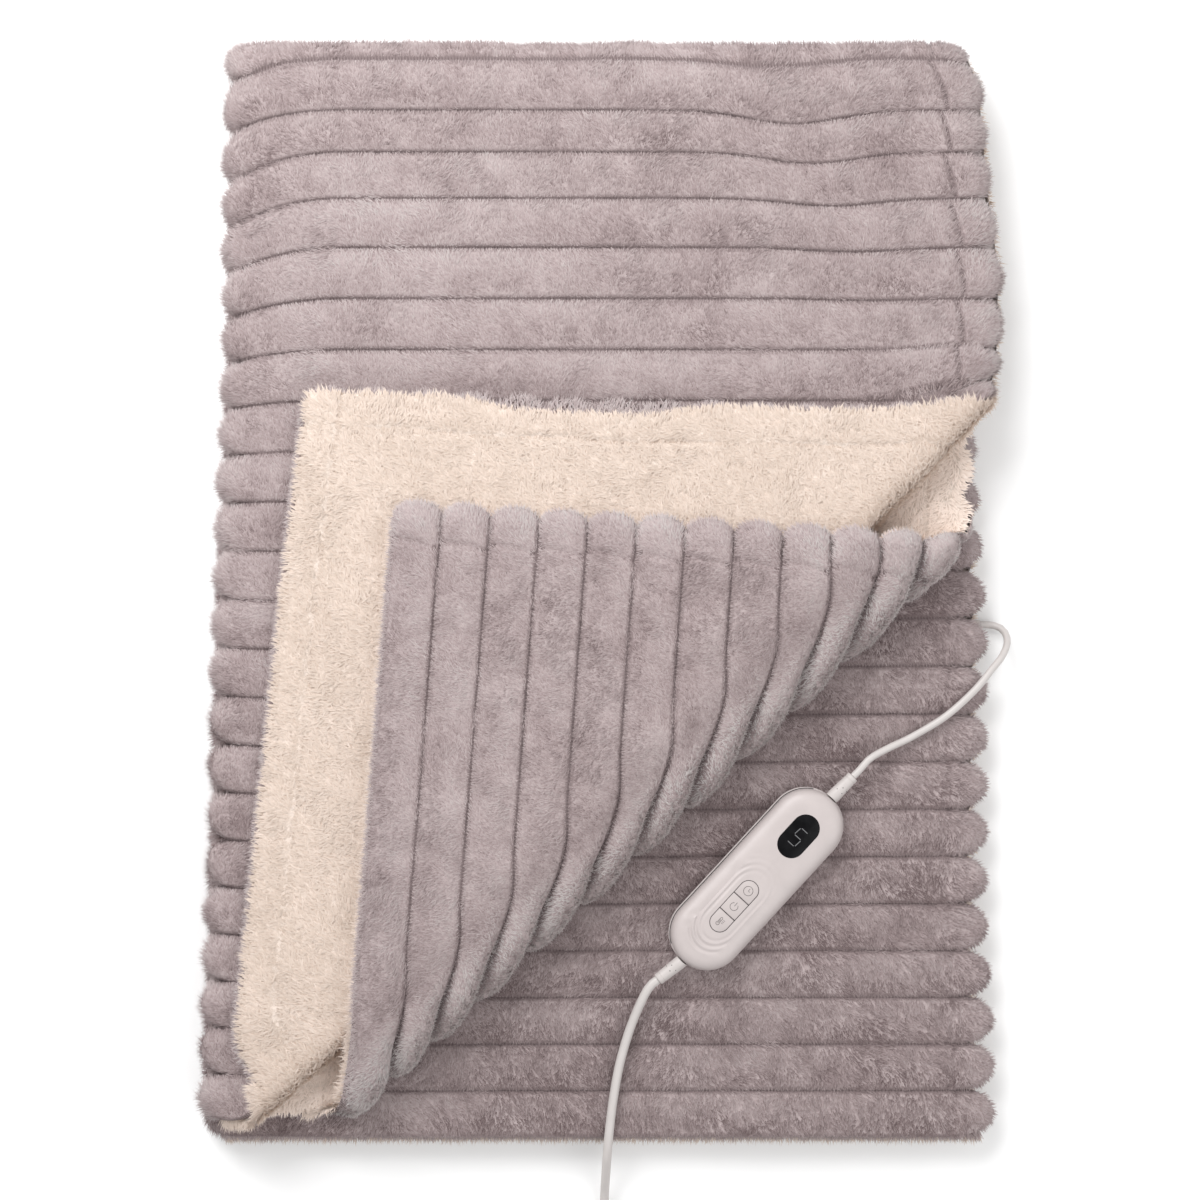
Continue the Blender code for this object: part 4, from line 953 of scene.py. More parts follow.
# ================================================================ materials
class Shader:
    """A material's nodes, with short calls to add and link them."""

    def __init__(self, name, roughness, **constants):
        self.material = bpy.data.materials.new(name)
        self.material.use_nodes = True
        self.nodes = self.material.node_tree.nodes
        self.links = self.material.node_tree.links
        self.out = self.nodes["Principled BSDF"]
        self.out.inputs["Roughness"].default_value = roughness
        for socket, value in constants.items():
            self.out.inputs[socket.replace("_", " ")].default_value = value

    def node(self, kind, inputs=(), **settings):
        made = self.nodes.new(kind)
        for key, value in settings.items():
            setattr(made, key, value)
        for socket, value in dict(inputs).items():
            if isinstance(value, bpy.types.NodeSocket):
                self.links.new(value, made.inputs[socket])
            else:
                made.inputs[socket].default_value = value
        return made

    def math(self, operation, a, b=0.0, c=0.0):
        return self.node("ShaderNodeMath", {0: a, 1: b, 2: c}, operation=operation).outputs[0]

    def noise(self, where, scale, detail=3.0, roughness=0.55, distortion=0.0):
        inputs = {"Vector": where, "Scale": scale, "Detail": detail, "Roughness": roughness}
        return self.node("ShaderNodeTexNoise", {**inputs, "Distortion": distortion}).outputs["Fac"]

    def ramp(self, factor, *stops):
        made = self.node("ShaderNodeValToRGB", {"Fac": factor})
        elements = made.color_ramp.elements
        for k, (position, colour) in enumerate(stops):
            element = elements[k] if k < 2 else elements.new(position)
            element.position = position
            element.color = (*colour, 1.0)
        return made.outputs["Color"]

    def mix(self, factor, a, b, blend="MIX"):
        made = self.node("ShaderNodeMix", data_type="RGBA", blend_type=blend)
        for socket, value in ((0, factor), (6, a), (7, b)):
            if isinstance(value, bpy.types.NodeSocket):
                self.links.new(value, made.inputs[socket])
            else:
                made.inputs[socket].default_value = (*value, 1.0) if isinstance(value, tuple) else value
        return made.outputs[2]

    def bump(self, height, strength, distance, after=None):
        inputs = {"Height": height, "Strength": strength, "Distance": distance}
        if after is not None:
            inputs["Normal"] = after
        return self.node("ShaderNodeBump", inputs).outputs["Normal"]

    def place(self):
        return self.node("ShaderNodeTexCoord").outputs["Object"]

    def cloth(self, name="cloth"):
        """The two cloth coordinates."""
        uv = self.node("ShaderNodeUVMap", uv_map=name).outputs["UV"]
        split = self.node("ShaderNodeSeparateXYZ", {"Vector": uv})
        return split.outputs["X"], split.outputs["Y"]

    def thin(self, colour):
        """A thin fibre, as bright from below as from above, because light passes through it."""
        self.links.new(colour, self.out.inputs["Base Color"])
        through = self.node("ShaderNodeBsdfTranslucent", {"Color": colour})
        behind = self.node("ShaderNodeNewGeometry").outputs["Backfacing"]
        both = self.node("ShaderNodeMixShader", {0: behind, 1: self.out.outputs[0], 2: through.outputs[0]})
        self.links.new(both.outputs[0], self.nodes["Material Output"].inputs["Surface"])
        return self.material

    def finish(self, colour=None, normal=None, roughness=None):
        for socket, value in (("Base Color", colour), ("Normal", normal), ("Roughness", roughness)):
            if value is not None:
                self.links.new(value, self.out.inputs[socket])
        return self.material


PLUSH_DARK = (0.190, 0.140, 0.140)
PLUSH_MID = (0.390, 0.321, 0.319)
PLUSH_LIGHT = (0.512, 0.442, 0.438)
PLUSH_GREY = (0.540, 0.505, 0.495)
SEAM_COLOUR = (0.120, 0.090, 0.090)
THREAD_COLOUR = (0.230, 0.180, 0.180)
SHERPA_DARK = (0.44, 0.345, 0.280)
SHERPA_MID = (0.592, 0.500, 0.436)
SHERPA_LIGHT = (0.82, 0.710, 0.640)
SHELL_COLOUR = (0.495, 0.442, 0.432)


def pile_material(name, root_shade, *stops):
    """Hair colour from its own tone (U), with painted shade from its root to its tip (V), darkest at the
    root.
    """
    shader = Shader(name, 0.9, Sheen_Weight=0.12, Sheen_Roughness=0.5, Specular_IOR_Level=0.15)
    tone, run = shader.cloth("OFBake")
    colour = shader.ramp(tone, *stops)
    # Painted shade deep in the pile: darker towards each hair's root.
    depth = shader.ramp(run, (0.0, root_shade), (0.75, (1.0, 1.0, 1.0)))
    return shader.thin(shader.mix(1.0, colour, depth, "MULTIPLY"))


BLACK, WHITE = (0.0, 0.0, 0.0), (1.0, 1.0, 1.0)
STITCH = 0.0027


def plush_material():
    """Short fur's ground, with painted shade in the valley beside each seam and the hem's stitching, a thin
    dark seam line, and lockstitch dashes along them and along the hem.
    """
    shader = Shader("plush", 0.95, Sheen_Weight=0.15, Sheen_Roughness=0.6, Specular_IOR_Level=0.1)
    u, v = shader.cloth()
    where = shader.place()
    patches = shader.noise(where, 19.0, 3.0)
    fine = shader.noise(where, 420.0, 2.0, 0.6, 0.4)
    tone = shader.math("MULTIPLY_ADD", fine, 0.5, shader.math("MULTIPLY", patches, 0.5))
    colour = shader.ramp(tone, (0.25, PLUSH_DARK), (0.5, PLUSH_MID), (0.8, PLUSH_LIGHT))
    phase = shader.math("FRACT", shader.math("ADD", shader.math("DIVIDE", v, RIB_PITCH), RIB_COUNT / 2 + 40))
    off = shader.math("MINIMUM", phase, shader.math("SUBTRACT", 1.0, phase))
    off = shader.math("MULTIPLY", off, RIB_PITCH)
    inward = shader.math("SUBTRACT", HALF_WIDTH - HEM_SEAM_AT, shader.math("ABSOLUTE", u))
    wave = shader.math("MULTIPLY", shader.math("SUBTRACT", 0.5, phase), HEM_SEAM_WAVE)
    hem_off = shader.math("ABSOLUTE", shader.math("SUBTRACT", inward, wave))
    faint = shader.math("LESS_THAN", shader.math("MINIMUM", u, v), 0.0)
    hidden = shader.math("MULTIPLY", faint, shader.math("GREATER_THAN", off, 0.006))
    hem_off = shader.math("ADD", hem_off, hidden)
    for distance, along in ((off, u), (hem_off, v)):
        # Painted shade: the valley beside the line is darkened; the thin line is the seam itself.
        valley_shade = shader.ramp(distance, (0.0, (0.6, 0.6, 0.6)), (0.0010, BLACK))
        colour = shader.mix(valley_shade, colour, PLUSH_DARK)
        line = shader.ramp(distance, (0.00032, (0.9, 0.9, 0.9)), (0.00060, BLACK))
        colour = shader.mix(line, colour, SEAM_COLOUR)
        dash = shader.math("FRACT", shader.math("DIVIDE", along, STITCH))
        thread = shader.ramp(dash, (0.50, WHITE), (0.62, BLACK))
        colour = shader.mix(shader.math("MULTIPLY", thread, line), colour, THREAD_COLOUR)
    return shader.finish(colour, shader.bump(fine, 0.6, 0.0015))


def sherpa_material():
    """Curly fleece ground."""
    shader = Shader("sherpa", 0.95, Sheen_Weight=0.2, Sheen_Roughness=0.6, Specular_IOR_Level=0.1)
    where = shader.place()
    curls = shader.noise(where, 230.0, 3.0, 0.6, 1.6)
    patches = shader.noise(where, 30.0, 2.0)
    tone = shader.math("ADD", shader.math("MULTIPLY", curls, 0.7), shader.math("MULTIPLY", patches, 0.3))
    colour = shader.ramp(tone, (0.22, SHERPA_DARK), (0.42, SHERPA_MID), (0.75, SHERPA_LIGHT))
    return shader.finish(colour, shader.bump(curls, 0.6, 0.002))


def shell_material(name, colour, grain=2600.0, roughness=0.42):
    """Moulded plastic with a fine spark-eroded grain and slight wear."""
    shader = Shader(name, roughness, Specular_IOR_Level=0.45)
    where = shader.place()
    wear = shader.noise(where, 55.0, 4.0)
    dust = shader.noise(where, 900.0, 2.0)
    duller = tuple(0.93 * c for c in colour)
    base = shader.mix(shader.ramp(wear, (0.35, BLACK), (0.75, WHITE)), colour, duller)
    rough = shader.math("MULTIPLY_ADD", wear, 0.12, roughness - 0.05)
    surface = shader.bump(shader.noise(where, grain, 2.0), 0.12, 0.0004)
    return shader.finish(base, shader.bump(dust, 0.03, 0.0004, surface), rough)


def flecked_material(name, roughness, scale, low, high, varies=None, **constants):
    """A plain material between two colours. Varies gives the span and the least of its roughness."""
    shader = Shader(name, roughness, **constants)
    where = shader.place()
    if isinstance(scale, tuple):
        where, scale = shader.node("ShaderNodeMapping", {"Vector": where, "Scale": scale}).outputs[0], 1.0
    flecks = shader.noise(where, scale)
    base = shader.ramp(flecks, low, high)
    rough = shader.math("MULTIPLY_ADD", flecks, *varies) if varies else None
    return shader.finish(base, None, rough)


def lens_material():
    return flecked_material("window", 0.16, 140.0, (0.3, (0.0035, 0.0035, 0.004)),
                            (0.8, (0.010, 0.010, 0.011)), (0.10, 0.12), Specular_IOR_Level=0.07)


def steel_material():
    """Turned steel, its streaks running along the pin."""
    return flecked_material("pin", 0.25, (40.0, 900.0, 900.0), (0.3, (0.50, 0.50, 0.49)),
                            (0.7, (0.70, 0.70, 0.68)), (0.2, 0.15), Metallic=1.0)


def floor_material():
    return flecked_material("floor", 0.8, 8.0, (0.3, (0.90, 0.90, 0.90)), (0.7, (0.93, 0.93, 0.93)))


def print_material(name, colour, roughness=0.6):
    shader = Shader(name, roughness)
    flecks = shader.noise(shader.place(), 1500.0, 2.0)
    duller = tuple(0.75 * c for c in colour)
    return shader.finish(shader.mix(flecks, colour, duller))


# ================================================================ controller
CONTROL_LENGTH = 0.184
CONTROL_WIDTH = 0.062
CONTROL_HEIGHT = 0.024
CONTROL_X, CONTROL_Y = 0.1306, -0.2413
CONTROL_TURN = math.radians(47.4)
CONTROL_Z = LOWER_PAIR_Z + PLUSH_W + PLUSH_CREST + PANEL_GAP
DISPLAY_LENGTH, DISPLAY_WIDTH, DISPLAY_AT = 0.0415, 0.0240, 0.0500
KEYS_LENGTH, KEYS_WIDTH, KEYS_AT = 0.0520, 0.0165, -0.0285
KEY_LENGTH = 0.0168
RELIEF_Z = 0.0115
RELIEF_LENGTH = 0.0250
MAINS_RELIEF_TURN = math.radians(218)
THIN_RELIEF_TURN = math.radians(45)
END_STEPS = 40
LOWER_PROFILE = (              # height, and how far the outline is drawn in there
    (0.0, 0.0060), (0.0004, 0.0040), (0.0013, 0.0022), (0.0028, 0.0009), (0.0046, 0.0002), (0.0062, 0.0),
    (0.0090, 0.0), (0.0096, 0.0002), (0.0098, 0.0007),
)
UPPER_PROFILE = (
    (0.0102, 0.0014), (0.0104, 0.0009), (0.0110, 0.0006), (0.0140, 0.0008), (0.0165, 0.0013),
    (0.0187, 0.0023), (0.0204, 0.0037), (0.0217, 0.0055), (0.0227, 0.0078), (0.0234, 0.0105),
    (0.0238, 0.0135),
)
CROWN, CROWN_FROM, CROWN_WIDTH = 0.00016, 0.0135, 0.006     # the rounded top over the last of these rows
CROWN_STEP = 0.00042
RIPPLED_FROM, RIPPLED_OVER = 0.0200, 0.0030                 # heights between which the ripples set in
LIP_FROM, LIP_OVER = 0.003, 0.005                           # and the lower shell's lip
STRAIGHT_PARTS, RIPPLED_PARTS = 6, 110                      # parts of the shells' straight sides
RIPPLE_PITCH, RIPPLE_DEPTH = 0.0043, 0.00135
RIPPLES_FROM, RIPPLES_TO = 0.0030, 0.0185             # distances from the keys' field
LOWER_SQUEEZE, UPPER_SQUEEZE = 0.80, 0.75             # how much wider they lie round its ends
RIPPLE_FADE, RIPPLE_FADE_AT, RIPPLE_FADE_LENGTH = 0.9, 0.010, 0.040     # towards the display
RIGHT_SHARE, SIDE_FROM, SIDE_WIDTH = 0.55, -0.012, 0.020              # of their depth on the right side
LIP = 0.0013                  # how far the lower shell shows past the upper one at the upper left side
INK_RISE = 0.00006            # of printed or moulded lines over their face
KEY_TOP = CONTROL_HEIGHT + 0.0003
LENS_TOP = CONTROL_HEIGHT + 0.0002
KEY_GAP = 0.0003              # between a key and the rim of its field
INK_WIDTH, RIM_WIDTH, GROOVE_WIDTH, SPLIT_WIDTH = 0.00042, 0.0006, 0.0007, 0.0008


def controller_place(x=0.0, z=0.0):
    turned = Matrix.Translation((CONTROL_X, CONTROL_Y, CONTROL_Z)) @ Matrix.Rotation(CONTROL_TURN, 4, "Z")
    return turned @ Matrix.Translation((x, 0.0, z))


def stadium(length, width, drawn=0.0, straights=1):
    """Points round a shape with half-round ends, lying along X, drawn in all round."""
    radius = max(width / 2 - drawn, 1e-5)
    centre = (length - width) / 2
    points = []
    for end in (1, -1):
        for k in range(END_STEPS + 1):
            angle = math.pi * (k / END_STEPS - end / 2)
            points.append((end * centre + radius * math.cos(angle), radius * math.sin(angle)))
        for k in range(1, straights):
            points.append((end * centre * (1 - 2 * k / straights), end * radius))
    return points


def loft(name, rings, made_of, place, smooth_angle=35):
    """A closed skin over rings of points."""
    bm = bmesh.new()
    made = [[bm.verts.new(point) for point in ring] for ring in rings]
    for below, above in zip(made, made[1:]):
        for k in range(len(below)):
            bm.faces.new((below[k - 1], below[k], above[k], above[k - 1]))
    bm.faces.new(made[0][::-1])
    bm.faces.new(made[-1])
    bmesh.ops.recalc_face_normals(bm, faces=bm.faces[:])
    mesh = bpy.data.meshes.new(name)
    bm.to_mesh(mesh)
    bm.free()
    mesh.shade_smooth()
    mesh.set_sharp_from_angle(angle=math.radians(smooth_angle))
    mesh.transform(place)
    return linked(name, mesh, made_of)


def ripple(x, y):
    """The shallow waves round the keys, which fade towards the display."""
    along = x - KEYS_AT
    straight = (KEYS_LENGTH - KEYS_WIDTH) / 2
    past = max(abs(along) - straight, 0.0) * (LOWER_SQUEEZE if along < 0 else UPPER_SQUEEZE)
    off = math.hypot(past, y) - KEYS_WIDTH / 2
    if not RIPPLES_FROM < off < RIPPLES_TO:
        return 0.0
    share = (off - RIPPLES_FROM) / (RIPPLES_TO - RIPPLES_FROM)
    window = math.sin(math.pi * share) ** 0.6
    fade = 1.0 - RIPPLE_FADE * float(smooth((along - RIPPLE_FADE_AT) / RIPPLE_FADE_LENGTH))
    side = RIGHT_SHARE + (1.0 - RIGHT_SHARE) * float(smooth((y - SIDE_FROM) / SIDE_WIDTH))
    wave = 0.5 - 0.5 * math.cos(2 * math.pi * (off - RIPPLES_FROM) / RIPPLE_PITCH)
    return -RIPPLE_DEPTH * window * fade * side * wave


def add_shells(housing, groove_shade):
    place = controller_place()
    lower = []
    for z, drawn in LOWER_PROFILE:
        lip = LIP * float(smooth((z - LIP_FROM) / LIP_OVER))
        outline = stadium(CONTROL_LENGTH, CONTROL_WIDTH, drawn, STRAIGHT_PARTS)
        lower.append([(x, y + lip * float(smooth(4 * y / CONTROL_WIDTH)), z) for x, y in outline])
    pieces = {"controller_lower_shell": loft("lower_shell", lower, housing, place)}
    outline = stadium(CONTROL_LENGTH, CONTROL_WIDTH, 0.0001, STRAIGHT_PARTS)
    beside = [(x, y) for x, y in outline if y > CONTROL_WIDTH / 4]
    # Painted shade: a dark ribbon along the parting line on the upper left side, standing in for the shade in
    # the gap between the shells.
    parting = ribbon("parting_line_shade", beside, GROOVE_WIDTH, LOWER_PROFILE[-1][0] + INK_RISE, groove_shade, place)
    dressed(parting)
    crown_rows = np.arange(CROWN_FROM + 0.0013, CONTROL_WIDTH / 2 - 0.0002, CROWN_STEP)
    upper = []
    for z, drawn in [*UPPER_PROFILE, *((None, drawn) for drawn in crown_rows)]:
        crown = CONTROL_HEIGHT - CROWN * float(1.0 - smooth((drawn - CROWN_FROM) / CROWN_WIDTH))
        height = crown if z is None else z
        deep = float(smooth((height - RIPPLED_FROM) / RIPPLED_OVER))
        outline = stadium(CONTROL_LENGTH, CONTROL_WIDTH, drawn, RIPPLED_PARTS)
        upper.append([(x, y, height + ripple(x, y) * deep) for x, y in outline])
    pieces["controller_upper_shell"] = loft("upper_shell", upper, housing, place)
    return pieces


def plate(name, outline, bottom, top, edge, made_of, place):
    """A thin plate with a rounded upper edge, its outline shrunk towards its middle for that."""
    outline = np.array(outline)
    middle = np.mean(outline, axis=0)
    size = np.abs(outline - middle).max(axis=0)
    rings = []
    for z, inset in ((bottom, 0.0), (top - edge, 0.0), (top - 0.3 * edge, 0.3 * edge), (top, edge)):
        rings.append([(*point, z) for point in middle + (outline - middle) * (1.0 - inset / size)])
    return loft(name, rings, made_of, place, smooth_angle=50)


def ribbon(name, path, width, z, made_of, place, closed=False):
    """A flat printed or moulded line."""
    path = [Vector(point) for point in path]
    count = len(path)
    parts = count if closed else count - 1
    left, right = [], []
    for k, point in enumerate(path):
        before = path[k - 1] if closed or k > 0 else point
        after = path[(k + 1) % count] if closed or k < count - 1 else point
        way = (after - before).normalized()
        off = Vector((-way.y, way.x)) * width / 2
        left.append((*(point + off), z))
        right.append((*(point - off), z))
    faces = [(k, (k + 1) % count, count + (k + 1) % count, count + k) for k in range(parts)]
    mesh = mesh_from(name, np.array(left + right), np.array(faces)[:, ::-1])
    mesh.transform(place)
    return linked(name, mesh, made_of)


def arc(x, y, radius, start, end, steps=24):
    angles = [math.radians(start + (end - start) * k / steps) for k in range(steps + 1)]
    return [(x + radius * math.cos(a), y + radius * math.sin(a)) for a in angles]


def upright(path):
    """Turns a drawing's right and up into the controller's own X (up) and Y (left)."""
    return [(up, -right) for right, up in path]


DIGIT_WIDTH, DIGIT_HEIGHT, DIGIT_STROKE = 0.0078, 0.0154, 0.00072
DIGIT_SLANT = 0.10


def digit_strokes():
    """The lit bars of a seven-segment 5."""
    w, h, gap = DIGIT_WIDTH / 2, DIGIT_HEIGHT / 2, 0.0007
    bars = (
        ((-w + gap, h), (w - gap, h)),
        ((-w, h - gap), (-w, gap)),
        ((-w + gap, 0.0), (w - gap, 0.0)),
        ((w, -gap), (w, -h + gap)),
        ((-w + gap, -h), (w - gap, -h)),
    )
    return [[(x + DIGIT_SLANT * y, y) for x, y in bar] for bar in bars]


def key_symbols():
    """Clock, power and thermometer, each as (place along the controller, lines)."""
    step = KEY_LENGTH + 0.0003
    clock = [arc(0, 0, 0.0039, 0, 360), [(0.0, 0.0024), (0.0, 0.0), (0.0017, 0.0)]]
    power = [arc(0, -0.0003, 0.0033, 125, 415), [(0.0, 0.0040), (0.0, 0.0002)]]
    bulb = arc(-0.0008, -0.0024, 0.0014, 130, 410)
    stem = [(-0.0017, -0.0013), (-0.0017, 0.0030), (-0.0008, 0.0038), (0.0001, 0.0030), (0.0001, -0.0013)]
    marks = [[(0.0013, y), (0.0028, y)] for y in (-0.0002, 0.0012, 0.0026)]
    middle = [[(-0.0008, -0.0024), (-0.0008, 0.0016)]]
    return ((step, clock), (0.0, power), (-step, [bulb, stem, *marks, *middle]))


def key_outline(part, drawn=0.0):
    """Outline of the upper (1), middle (0) or lower (-1) key, drawn in all round."""
    split = KEY_LENGTH / 2
    half = KEYS_WIDTH / 2 - drawn
    if part == 0:
        x = split - drawn
        return [(-x, -half), (x, -half), (x, half), (-x, half)]
    centre = (KEYS_LENGTH - KEYS_WIDTH) / 2
    start = split + 0.0005 + drawn
    turn = arc(centre, 0.0, half, -90, 90)
    points = [(start, -half), *turn, (start, half)]
    return points if part > 0 else [(-x, -y) for x, y in points]


def add_line(name, path, width, z, made_of, at, closed=False):
    """A line on the controller's top, at a distance along it."""
    dressed(ribbon(name, path, width, z + INK_RISE, made_of, controller_place(at), closed))


def add_controls(groove_shade, window):
    ink = print_material("key_print", (0.105, 0.092, 0.09))
    lit = print_material("display_bars", (0.15, 0.15, 0.155), 0.4)
    rubber = shell_material("key_face", tuple(0.985 * c for c in SHELL_COLOUR), 1800.0, 0.5)
    for node, part in (("key_upper", 1), ("key_middle", 0), ("key_lower", -1)):
        outline = key_outline(part, KEY_GAP)
        key = plate(node + "_face", outline, 0.0232, KEY_TOP, 0.0003, rubber, controller_place(KEYS_AT))
        replace(key, node)
    # The keys' rim and splits are dark ribbons: painted shade in their gaps.
    rim = stadium(KEYS_LENGTH, KEYS_WIDTH)
    add_line("keys_rim_shade", rim, RIM_WIDTH, CONTROL_HEIGHT, groove_shade, KEYS_AT, True)
    for number, side in enumerate((-1, 1)):
        x = side * (KEY_LENGTH / 2 + 0.00025)
        split = [(x, -KEYS_WIDTH / 2), (x, KEYS_WIDTH / 2)]
        add_line(f"key_split_shade_{number}", split, SPLIT_WIDTH, CONTROL_HEIGHT, groove_shade, KEYS_AT)
    for number, (at, lines) in enumerate(key_symbols()):
        for k, line in enumerate(lines):
            name = f"symbol_{number}_{k}"
            add_line(name, upright(line), INK_WIDTH, KEY_TOP, ink, KEYS_AT + at)
    outline = stadium(DISPLAY_LENGTH, DISPLAY_WIDTH, 0.0003)
    lens = plate("display_face", outline, 0.0230, LENS_TOP, 0.0002, window, controller_place(DISPLAY_AT))
    replace(lens, "display_lens")
    for k, bar in enumerate(digit_strokes()):
        add_line(f"digit_{k}", upright(bar), DIGIT_STROKE, LENS_TOP, lit, DISPLAY_AT - 0.001)


def round_ring(x, radius, sides):
    angles = [2 * math.pi * k / sides for k in range(sides)]
    return [(x, radius * math.cos(a), radius * math.sin(a)) for a in angles]


RELIEF_SHAPE = (               # distance along, and radius
    (0.0030, 0.0057), (0.0050, 0.00565), (0.0190, 0.0051), (0.0205, 0.0051), (0.0209, 0.0048),
    (0.0214, 0.0048), (0.0218, 0.0051), (0.0244, 0.0050), (0.0249, 0.0047), (RELIEF_LENGTH, 0.0042),
)
DIMPLES = ((0.0085, 62), (0.0125, 92), (0.0085, 122), (0.0125, 152))     # distance along, degrees round
DIMPLE_SHAPE = ((0.00042, -0.0002), (0.00042, 0.00005), (0.00030, 0.00008))
DIMPLES_RADIUS = 0.00546


def add_relief(node, end, turn, fitting, hole_shade):
    """A tapered sleeve with a rolled rim and small dimples, seated on the controller's round end."""
    slant = turn - CONTROL_TURN - (0.0 if end > 0 else math.pi)
    curve = CONTROL_WIDTH / 2
    root = []
    for x, y, z in round_ring(0.0, 0.0055, 32):
        off = y - curve * math.sin(slant)
        root.append((math.sqrt((curve + 0.0001) ** 2 - off ** 2) - curve * math.cos(slant), y, z))
    place = Matrix.Translation(controller_place(end * CONTROL_LENGTH / 2, RELIEF_Z).translation)
    place = place @ Matrix.Rotation(turn, 4, "Z")
    sleeve = loft(node + "_sleeve", [root] + [round_ring(x, r, 32) for x, r in RELIEF_SHAPE], fitting, place)
    replace(sleeve, node)
    for k, (x, angle) in enumerate(DIMPLES):
        a = math.radians(angle)
        spot = Matrix.Translation((x, DIMPLES_RADIUS * math.cos(a), DIMPLES_RADIUS * math.sin(a)))
        spot = spot @ Matrix.Rotation(a - math.pi / 2, 4, "X")
        turns = np.linspace(0, 2 * math.pi, 13)[:-1]
        rings = [[(r * math.cos(t), r * math.sin(t), z) for t in turns] for r, z in DIMPLE_SHAPE]
        # The dimples' floors are painted near black: painted shade in the small holes.
        dressed(loft(f"{node}_dimple_{k}", rings, hole_shade, place @ spot))


# ================================================================ leads
MAINS_DIAMETER = 0.0076
THIN_DIAMETER = 0.0060
MAINS_ROUTE = (
    (0.0484, -0.3246, 0.0464), (0.0420, -0.3299, 0.0463), (0.0352, -0.3420, 0.0447),
    (0.0253, -0.3664, 0.0408), (0.0170, -0.3951, 0.0390), (0.0120, -0.4217, 0.0389),
    (0.0087, -0.4466, 0.0390), (0.0066, -0.4690, 0.0360), (0.0054, -0.4890, 0.0250),
    (0.0044, -0.5070, 0.0130), (0.0038, -0.5260, 0.0062), (0.0034, -0.5450, 0.0042),
    (0.0034, -0.5650, 0.0041),
)
THIN_ROUTE = (
    (0.2108, -0.1557, 0.0464), (0.2165, -0.1500, 0.0463), (0.2253, -0.1406, 0.0450),
    (0.2425, -0.1315, 0.0415), (0.2594, -0.1237, 0.0392), (0.2884, -0.1063, 0.0382),
    (0.3125, -0.0847, 0.0380), (0.3274, -0.0673, 0.0350), (0.3375, -0.0555, 0.0285),
    (0.3425, -0.0440, 0.0205), (0.3400, -0.0345, 0.0130), (0.3320, -0.0304, 0.0085),
    (0.3265, -0.0300, 0.0076), (0.3215, -0.0300, 0.0075),
)
GLAND_X, GLAND_Y, GLAND_Z = 0.3072, -0.0300, 0.0075
COIL_X, COIL_Y = 0.0500, -0.5923
COIL_RADIUS = 0.0390
COIL_BOTTOM = 0.0003
COIL_LAYS = ((1, 0), (0, 0), (-1, 0), (-1, 1), (0, 1), (1, 1))   # turn outwards of the middle, and layer
COIL_TURNS = 5.25
COIL_STEPS = 40               # points in each turn
TAIL_Y = COIL_Y - COIL_RADIUS - MAINS_DIAMETER
TAIL_ROUTE = (
    (0.0776, TAIL_Y, 0.0117), (0.0910, TAIL_Y, 0.0110), (0.1050, TAIL_Y, 0.0084), (0.1190, TAIL_Y, 0.0081),
)
PLUG_X, PLUG_Z = 0.1193, 0.0081
PIN_RADIUS, PIN_SPACING = 0.0020, 0.0190
LEAD_SIDES = 20


def smooth_route(route, step):
    """Points about a step apart on a smooth curve through the route's points."""
    points = [Vector(point) for point in route]
    points = [2 * points[0] - points[1], *points, 2 * points[-1] - points[-2]]
    dense = []
    for before, a, b, after in zip(points, points[1:], points[2:], points[3:]):
        for k in range(12):
            t = k / 12
            bend = (2 * before - 5 * a + 4 * b - after) * t ** 2 + (3 * a - 3 * b + after - before) * t ** 3
            dense.append((2 * a + (b - before) * t + bend) / 2)
    dense = np.array([*dense, points[-2]])
    run = np.concatenate(([0.0], np.cumsum(np.linalg.norm(np.diff(dense, axis=0), axis=1))))
    even = np.linspace(0.0, run[-1], round(run[-1] / step) + 1)
    return np.stack([np.interp(even, run, dense[:, axis]) for axis in range(3)], axis=1)


def coil_points():
    """The wound length: down the outer lay, in, up a layer, out again."""
    points = []
    for k in range(round(COIL_TURNS * COIL_STEPS) + 1):
        turn = k / COIL_STEPS
        lay = int(turn)
        after = min(lay + 1, len(COIL_LAYS) - 1)
        change = float(smooth((turn - lay - 0.72) / 0.25))
        out = COIL_LAYS[lay][0] * (1 - change) + COIL_LAYS[after][0] * change
        layer = COIL_LAYS[lay][1] * (1 - change) + COIL_LAYS[after][1] * change
        angle = math.pi + 2 * math.pi * turn
        radius = COIL_RADIUS + out * MAINS_DIAMETER * 0.985
        height = COIL_BOTTOM + MAINS_DIAMETER / 2 + layer * MAINS_DIAMETER
        points.append((COIL_X + radius * math.cos(angle), COIL_Y + radius * math.sin(angle), height))
    return points


def tube(name, path, diameter, made_of):
    """A round cord along a path, with its faces square to it and its ends closed."""
    path = np.array(path)
    way = unit(np.gradient(path, axis=0))
    side = unit(np.cross(way[0], (0.0, 0.0, 1.0)))
    rings = []
    for point, along in zip(path, way):
        side = unit(side - along * np.dot(side, along))
        up = np.cross(side, along)
        angles = np.linspace(0.0, 2 * math.pi, LEAD_SIDES + 1)[:-1]
        ring = point + diameter / 2 * (column(np.cos(angles)) * side + column(np.sin(angles)) * up)
        rings.append([tuple(p) for p in ring])
    return loft(name, rings, made_of, Matrix.Identity(4), smooth_angle=60)


